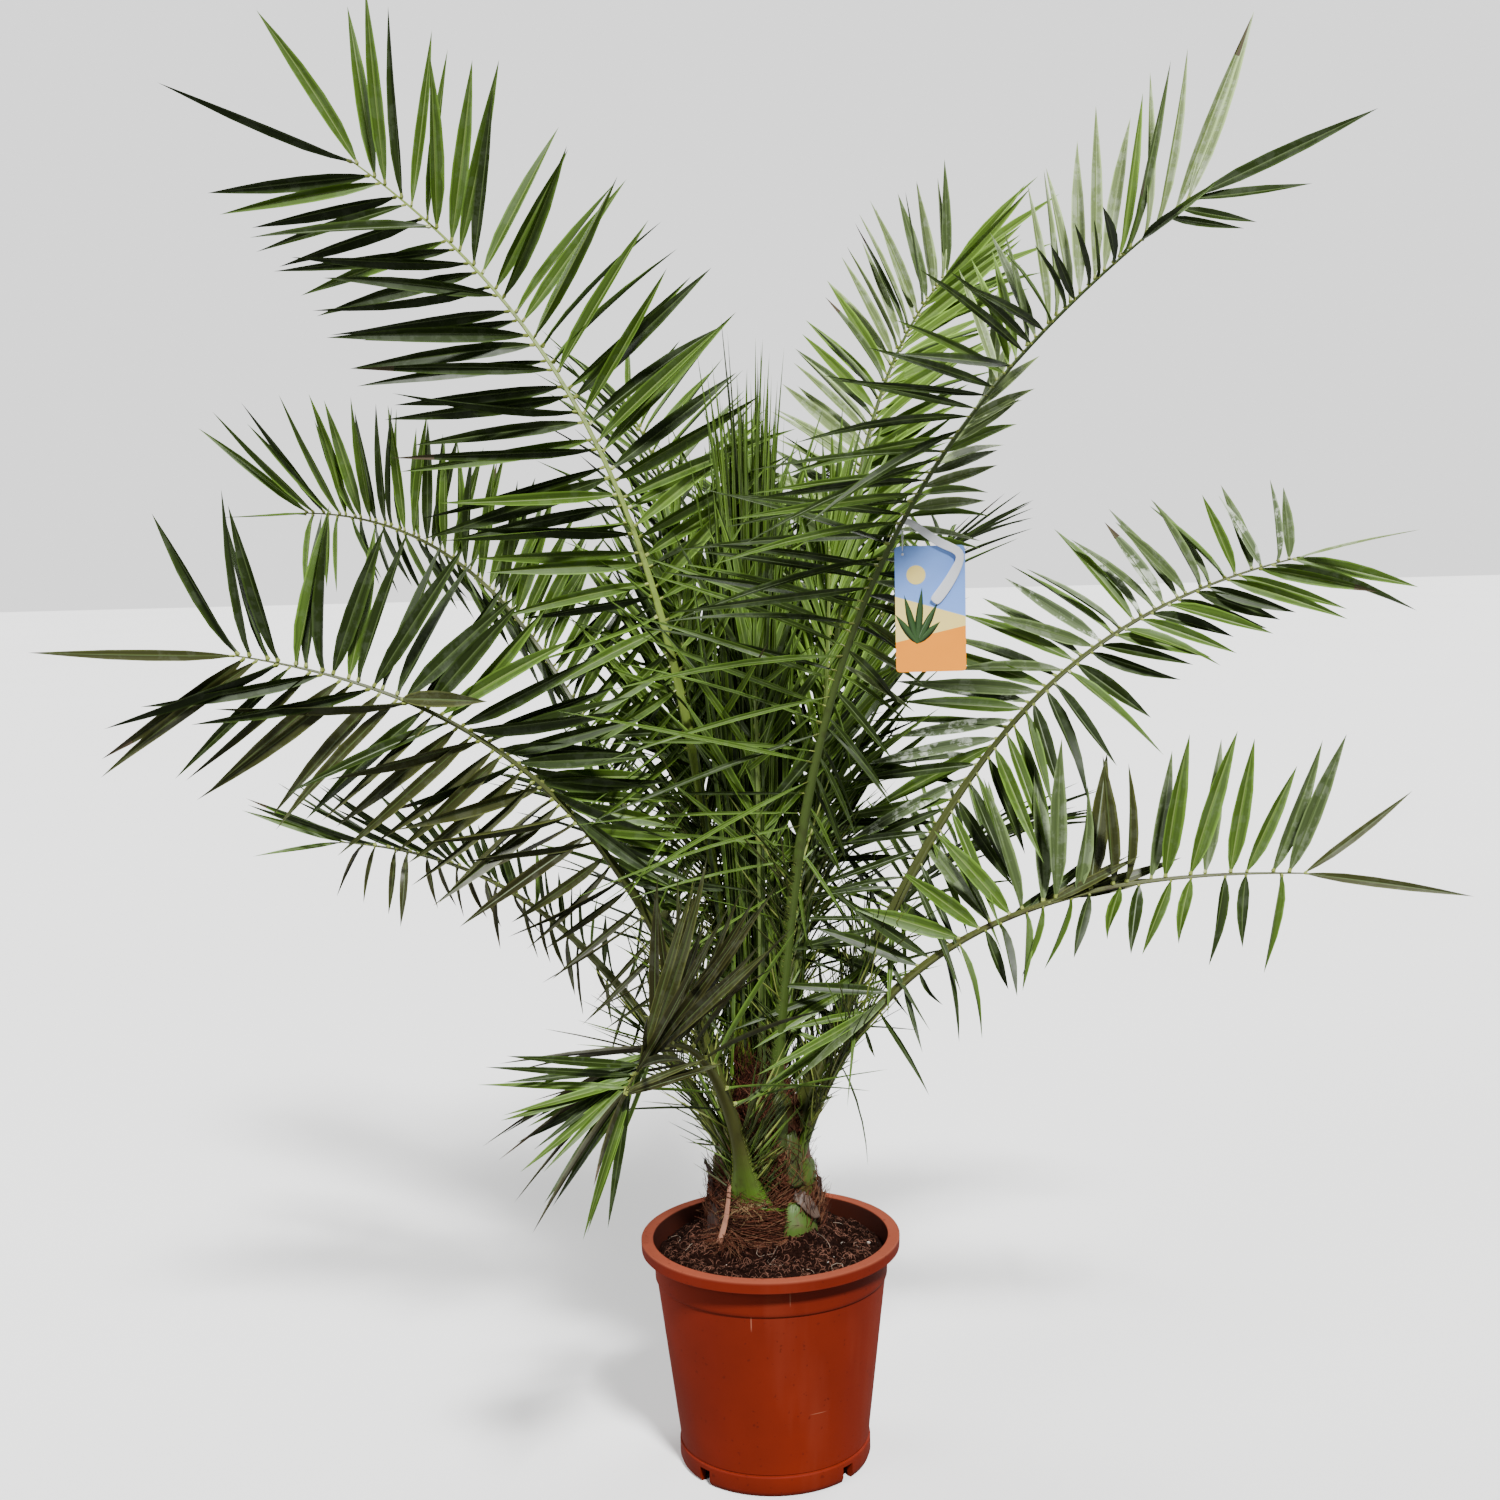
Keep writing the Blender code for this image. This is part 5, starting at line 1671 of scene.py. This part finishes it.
def add_spines(heap, rib, shape, slots, rng, count):
    """Short stiff leaflets low on a stalk, crossing those of its neighbours."""
    for i in range(count):
        share = (i + rng.random()) / count
        t = 0.012 + 0.21 * share
        side = 1.0 if i % 2 else -1.0
        tangent, across, normal = rib.frame(t)
        sweep = math.radians(rng.uniform(20.0, 56.0))
        lift = math.radians(rng.uniform(-15.0, 68.0))
        outward = across * (side * math.cos(lift)) + normal * math.sin(lift)
        way = tangent * math.cos(sweep) + outward * math.sin(sweep)
        half, _ = rib.half_size(t)
        base = rib.at(t) + across * (side * half * 0.8)
        length = rng.uniform(0.026, 0.052) + 0.10 * share * rng.uniform(0.4, 1.0)
        points = lay_leaflet(
            shape, base, way, normal, length, rng.uniform(0.0017, 0.0029) + 0.0010 * share,
            fold=0.7, droop=rng.normal() * 0.03, sideways=rng.normal() * 0.03,
        )
        pick_tint = rng.random()
        tint = slots["base" if pick_tint < 0.16 else "spear" if pick_tint < 0.36 else "olive" if pick_tint < 0.7 else "deep"]
        heap.add(shape, points, (tint, slots["rib"], slots["base"], tint))


SPEAR_LEAVES = 210
SPEAR_GIRTH = 0.036


def add_spear(heap, shape, slots, rng):
    """The sheaf of unopened young leaves: long, narrow and nearly upright round the middle."""
    foot = Vector((STEM_X, STEM_Y, STEM_TOP - 0.040))
    for i in range(SPEAR_LEAVES):
        share = (i + 0.5) / SPEAR_LEAVES
        around = direction(GOLDEN_TURN * i, 0.0)
        out = rng.random() ** 0.7
        base = foot + Vector((0.0, 0.0, 0.52 * share**0.8)) + around * (SPEAR_GIRTH * out * (1.1 - 0.6 * share))
        end = SPEAR_TOP - 0.16 * out * rng.uniform(0.5, 1.3)
        length = min(rng.uniform(0.32, 0.46), end - base.z)
        way = Vector((0.0, 0.0, 1.0)) + around * rng.uniform(0.0, 0.07) + Vector(rng.normal(size=3)) * 0.04
        points = lay_leaflet(
            shape, base, way, -around + Vector(rng.normal(size=3)) * 0.5, length, rng.uniform(0.0060, 0.0100),
            fold=1.0, sideways=rng.normal() * 0.012, twist=rng.normal() * 0.3,
        )
        # The deep tints paint the shade in the heart of the crown.
        tint = ("deep", "mid", "deep", "spear", "mid")[i % 5]
        heap.add(shape, points, (slots[tint], slots["rib"], slots[tint], slots[tint]))


class Shoot(NamedTuple):
    """An upright young frond: where it leans, its height, and the leaflets on each side."""

    turn: float
    lean: float
    top: float
    length: float
    count: int
    spray: str


SHOOTS = (
    Shoot(128, 12.0, 1.130, 0.220, 26, "light"),
    Shoot(20, 8.0, 1.150, 0.220, 26, "light"),
    Shoot(275, 2.0, 1.060, 0.180, 18, "heart"),
    Shoot(90, 9.0, 1.180, 0.240, 26, "heart"),
    Shoot(120, 20.0, 1.070, 0.220, 20, "dusk"),
    Shoot(50, 17.0, 1.090, 0.220, 20, "heart"),
)
SHOOT_LEAFY = 0.42
SHOOT_OPENINGS = ((0.0, 42.0), (0.5, 34.0), (1.0, 12.0))
SHOOT_LENGTHS = ((0.0, 0.65), (0.3, 1.0), (0.75, 0.95), (1.0, 0.7))


def add_shoot(heap, rod, shape, slots, rng, shoot):
    """A thin stalk and two ranks of half-opened leaflets that cross those of its neighbours."""
    line = direction(shoot.turn, 90.0 - shoot.lean)
    foot = Vector((STEM_X, STEM_Y, STEM_TOP - 0.030)) + direction(shoot.turn, 0.0) * 0.010
    rise = (shoot.top - 0.75 * shoot.length - foot.z) / line.z
    bow = direction(shoot.turn, 0.0) * 0.02

    def path(s):
        return foot + line * (rise * s) + bow * math.sin(math.pi * s)

    heap.add(rod, lay_strand(rod, path, 0.0050, 0.3), [slots["rib"]])
    for i in range(2 * shoot.count):
        share = (i + rng.random()) / (2 * shoot.count)
        side = 1.0 if i % 2 else -1.0
        opening = math.radians(interpolate(SHOOT_OPENINGS, share) * rng.uniform(0.35, 1.25))
        spread = math.radians(rng.normal() * 32.0)
        outward = Vector((side * math.cos(spread), abs(math.sin(spread)) - 0.1, 0.0))
        length = shoot.length * interpolate(SHOOT_LENGTHS, share) * rng.uniform(0.85, 1.08)
        way = line * math.cos(opening) + outward * math.sin(opening)
        facing = Vector((-0.6 * side, -1.0, 0.1)) + Vector(rng.normal(size=3)) * 0.4
        points = lay_leaflet(
            shape, path(SHOOT_LEAFY + (1.0 - SHOOT_LEAFY) * share), way, facing, length,
            rng.uniform(0.010, 0.016),
            fold=0.75 + rng.normal() * 0.1, droop=rng.normal() * 0.03,
            sideways=rng.normal() * 0.03, twist=rng.normal() * 0.3,
        )
        heap.add(shape, points, deal(shoot.spray, slots, rng))


# Hanging card


def card_finish(name, colour):
    finish = Finish(name, 0.32, Specular_IOR_Level=0.5)
    soft = finish.grain(finish.place(), 24.0, 2.0)
    fine = finish.grain(finish.place(), 900.0, 1.0)
    base = finish.mixed(soft, shade(colour, 0.9), shade(colour, 1.1))
    finish.paint(finish.mixed(fine * 0.2, base, shade(colour, 0.8)))
    finish.polish(fine * 0.15 + 0.25)
    return finish.material


CARD_COLOURS = {
    "blue": (0.20, 0.37, 0.86),
    "cream": (0.88, 0.70, 0.22),
    "orange": (0.92, 0.29, 0.006),
    "green": (0.030, 0.070, 0.020),
    "white": (0.74, 0.76, 0.80),
}
CARD_HILLS = ((0.30, 0.22), (0.52, -0.30))
SPRIG_FOOT = (-0.014, -0.034)
SPRIG_BLADES = ((62, 0.046), (84, 0.056), (104, 0.050), (126, 0.036), (42, 0.032))
DISC_PLACE = (-0.014, 0.034)
DISC_RADIUS = 0.0095
HOLE_DROP = 0.008
RIBBON_WIDTH = 0.0135


class PALM_OT_card(bpy.types.Operator):
    """Models the hanging card with plain fields, a disc and a sprig, its ribbon and its thread"""

    bl_idname = "palm.make_card"
    bl_label = "Card and ribbon"

    def execute(self, context):
        colours = {name: card_finish(f"card_{name}", colour) for name, colour in CARD_COLOURS.items()}
        low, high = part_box("tag")
        middle = (low + high) / 2
        deselect()
        bpy.ops.mesh.primitive_cube_add(size=1.0, location=middle)
        card = bpy.context.active_object
        card.name = "card"
        card.scale = (TAG_WIDTH, TAG_THICKNESS, TAG_HEIGHT)
        bpy.ops.object.transform_apply(location=True, rotation=True, scale=True)
        self.round_corners(card)
        bpy.ops.object.mode_set(mode="EDIT")
        for share, slope in CARD_HILLS:
            bpy.ops.mesh.select_all(action="SELECT")
            bpy.ops.mesh.bisect(
                plane_co=(middle.x, middle.y, low.z + share * TAG_HEIGHT), plane_no=(-slope, 0.0, 1.0),
            )
        bpy.ops.object.mode_set(mode="OBJECT")
        for name in ("orange", "cream", "blue"):
            card.data.materials.append(colours[name])
        for face in card.data.polygons:
            above = [
                face.center.z > low.z + share * TAG_HEIGHT + slope * (face.center.x - middle.x)
                for share, slope in CARD_HILLS
            ]
            face.material_index = sum(above)
        settle(card, [], ["tag"])
        self.picture(middle, colours)
        self.ribbon(low, high, colours["white"])
        return {"FINISHED"}

    def round_corners(self, card):
        """Bevels the four short edges at the corners of the card."""
        pick(card)
        bpy.ops.object.mode_set(mode="EDIT")
        bpy.ops.mesh.select_mode(type="EDGE")
        mesh = bmesh.from_edit_mesh(card.data)
        for edge in mesh.edges:
            a, b = (vertex.co for vertex in edge.verts)
            edge.select_set(abs(a.y - b.y) > 0.5 * TAG_THICKNESS)
        bmesh.update_edit_mesh(card.data)
        bpy.ops.mesh.bevel(offset=TAG_CORNER, segments=5)
        bpy.ops.mesh.select_mode(type="VERT")
        bpy.ops.object.mode_set(mode="OBJECT")

    def picture(self, middle, colours):
        """A pale disc and a sprig of thin blades, printed on the front and the back."""
        blade = leaflet_shape()
        heap = Heap()
        for side in (-1.0, 1.0):
            face = middle + Vector((0.0, side * (0.5 * TAG_THICKNESS + 0.0001), 0.0))
            foot = face + Vector((SPRIG_FOOT[0], 0.0, SPRIG_FOOT[1]))
            for angle, length in SPRIG_BLADES:
                way = direction(angle, 0.0)
                points = lay_leaflet(blade, foot, (way.x, 0.0, way.y), (0.0, side, 0.0), length, 0.0075, fold=0.0)
                points[:, 1] = face.y + (points[:, 1] - face.y) * 0.2
                heap.add(blade, points, (0, 0, 0, 0))
        settle(heap.build("card_sprig", [colours["green"]]), [])
        deselect()
        bpy.ops.mesh.primitive_cylinder_add(
            vertices=40, radius=DISC_RADIUS, depth=TAG_THICKNESS + 0.0004,
            location=middle + Vector((DISC_PLACE[0], 0.0, DISC_PLACE[1])), rotation=(math.radians(90.0), 0.0, 0.0),
        )
        disc = bpy.context.active_object
        disc.name = "card_disc"
        settle(disc, [colours["cream"]])

    def ribbon(self, low_card, high, white):
        """A pale ribbon looped round the rib above the card, and a thread down to its hole."""
        low_band, high_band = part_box("tag_band")
        centre = (low_band + high_band) / 2
        top = Vector((centre.x, centre.y, high_band.z))
        corner = Vector((high.x - 0.006, low_card.y, high.z - 0.012))
        half = 0.5 * RIBBON_WIDTH
        path = [
            top + Vector((-0.002, -0.006, -0.004)),
            top + Vector((-0.006, -0.010, 0.002)),
            top + Vector((-0.001, -0.011, 0.009)),
            top + Vector((0.007, -0.008, 0.008)),
            top.lerp(corner, 0.25) + Vector((0.008, -0.004, 0.004)),
            top.lerp(corner, 0.55) + Vector((0.008, -0.002, 0.0)),
            corner + Vector((0.004, -0.003, 0.006)),
            corner + Vector((-0.002, -0.003, -0.010)),
            corner + Vector((-0.014, -0.003, -0.030)),
            corner + Vector((-0.026, -0.0025, -0.044)),
        ]
        rings = []
        for i, place in enumerate(path):
            ahead = (path[min(i + 1, len(path) - 1)] - path[max(i - 1, 0)]).normalized()
            across = ahead.cross(Vector((0.25, -1.0, 0.0))).normalized() * half * (0.4 + 0.6 * i / (len(path) - 1))
            thick = across.cross(ahead).normalized() * 0.0003
            rings.append([place + across + thick, place - across + thick, place - across - thick, place + across - thick])
        rings.insert(0, [path[0]] * 4)
        rings.append([path[-1]] * 4)
        band = extruded("card_ribbon", rings)
        apply_modifier(band, "SUBSURF", "round", levels=2, render_levels=2)
        settle(band, [white], ["tag_band"])

        rod = strand_shape()
        heap = Heap()
        hole = Vector((centre.x, high.y + 0.0004, high.z - HOLE_DROP))
        for shift in (-0.0008, 0.0008):
            start = top + Vector((shift, -0.006, 0.0))
            heap.add(rod, lay_strand(rod, lambda s, start=start: start.lerp(hole, s), 0.00035, 1.0), [0])
        knot = lump_shape()
        heap.add(knot, knot.points * 0.0018 + np.array((hole.x, low_card.y - 0.0012, hole.z)), [0])
        settle(heap.build("card_thread", [white]), [])


# Stage


class PALM_OT_stage(bpy.types.Operator):
    """Adds the plain pale floor, the soft light and the camera"""

    bl_idname = "palm.make_stage"
    bl_label = "Stage"

    def execute(self, context):
        group = settings().stage
        deselect()
        bpy.ops.mesh.primitive_plane_add(size=group.floor_size)
        floor = bpy.context.active_object
        floor.name = "floor"
        floor.data.materials.append(floor_finish())
        self.light("key", (1.15, -3.35, 4.3), group.key_strength, 8.0)
        self.light("fill", (-3.4, -2.4, 1.9), group.key_strength * 0.20, 30.0)
        self.light("back_left", (-3.0, 1.6, 2.2), group.key_strength * 0.30, 40.0)
        self.light("back_right", (2.6, 2.4, 2.4), group.key_strength * 0.30, 40.0)
        self.sky(group.sky_strength)
        data = bpy.data.cameras.new("camera")
        data.lens = CAMERA_LENS
        data.sensor_width = CAMERA_SENSOR
        camera = bpy.data.objects.new("camera", data)
        bpy.context.scene.collection.objects.link(camera)
        tilt = Matrix.Rotation(math.radians(90.0 - CAMERA_DROP), 4, "X")
        roll = Matrix.Rotation(math.radians(CAMERA_ROLL), 4, "Z")
        camera.matrix_world = Matrix.Translation(CAMERA_PLACE) @ tilt @ roll
        bpy.context.scene.camera = camera
        return {"FINISHED"}

    def sky(self, strength):
        """Even white light all round, behind a pale backdrop that only the camera sees."""
        world = bpy.data.worlds.new("studio")
        world.use_nodes = True
        tree = world.node_tree
        tree.nodes["Background"].inputs["Color"].default_value = (1.0, 1.0, 1.0, 1.0)
        tree.nodes["Background"].inputs["Strength"].default_value = strength
        backdrop = tree.nodes.new("ShaderNodeBackground")
        backdrop.inputs["Color"].default_value = (1.0, 1.0, 1.0, 1.0)
        backdrop.inputs["Strength"].default_value = BACKDROP_STRENGTH
        seen = tree.nodes.new("ShaderNodeLightPath")
        either = tree.nodes.new("ShaderNodeMixShader")
        tree.links.new(seen.outputs["Is Camera Ray"], either.inputs[0])
        tree.links.new(tree.nodes["Background"].outputs[0], either.inputs[1])
        tree.links.new(backdrop.outputs[0], either.inputs[2])
        tree.links.new(either.outputs[0], tree.nodes["World Output"].inputs["Surface"])
        bpy.context.scene.world = world

    def light(self, name, place, strength, softness):
        """A distant lamp; softness is the angle that it fills, in degrees."""
        data = bpy.data.lights.new(name, "SUN")
        data.angle = math.radians(softness)
        data.energy = strength
        lamp = bpy.data.objects.new(name, data)
        bpy.context.scene.collection.objects.link(lamp)
        lamp.location = place
        lamp.rotation_euler = (-Vector(place)).to_track_quat("-Z", "Y").to_euler()


def floor_finish():
    """Pale paint to the camera; darker to bounced light, so that the shade under leaves stays deep."""
    finish = Finish("floor_paint", 0.8, Specular_IOR_Level=0.2)
    clouds = finish.grain(finish.place(), 0.6, 2.0)
    pale = finish.mixed(clouds, (0.86, 0.86, 0.85), (0.90, 0.90, 0.90))
    seen = finish.out(finish.node("ShaderNodeLightPath"), "Is Camera Ray")
    finish.paint(finish.mixed(seen, (0.20, 0.20, 0.19), pale))
    return finish.material


# Add-on


class PalmSettings(bpy.types.PropertyGroup):
    """All settings of the palm."""

    pot: bpy.props.PointerProperty(type=PalmPotSettings)
    foliage: bpy.props.PointerProperty(type=PalmFoliageSettings)
    stem: bpy.props.PointerProperty(type=PalmStemSettings)
    stage: bpy.props.PointerProperty(type=PalmStageSettings)


OPERATORS = (
    PALM_OT_pot,
    PALM_OT_soil,
    PALM_OT_stem,
    PALM_OT_husks,
    PALM_OT_fronds,
    PALM_OT_card,
    PALM_OT_stage,
)


class PALM_PT_sidebar(bpy.types.Panel):
    """Lists the settings and the operators"""

    bl_label = "Potted Palm"
    bl_idname = "PALM_PT_sidebar"
    bl_space_type = "VIEW_3D"
    bl_region_type = "UI"
    bl_category = "Palm"

    def draw(self, context):
        layout = self.layout
        values = context.scene.palm_settings
        for group in (values.pot, values.foliage, values.stem, values.stage):
            box = layout.box()
            for key in group.__annotations__:
                box.prop(group, key)
        for operator in OPERATORS:
            layout.operator(operator.bl_idname)


CLASSES = (
    PalmPotSettings,
    PalmFoliageSettings,
    PalmStemSettings,
    PalmStageSettings,
    PalmSettings,
    *OPERATORS,
    PALM_PT_sidebar,
)


def register():
    for cls in CLASSES:
        bpy.utils.register_class(cls)
    bpy.types.Scene.palm_settings = bpy.props.PointerProperty(type=PalmSettings)


def unregister():
    del bpy.types.Scene.palm_settings
    for cls in reversed(CLASSES):
        bpy.utils.unregister_class(cls)


def main():
    register()
    bpy.ops.palm.make_pot()
    bpy.ops.palm.make_soil()
    bpy.ops.palm.make_stem()
    bpy.ops.palm.make_husks()
    bpy.ops.palm.make_fronds()
    bpy.ops.palm.make_card()
    bpy.ops.palm.make_stage()


if __name__ == "__main__":
    main()
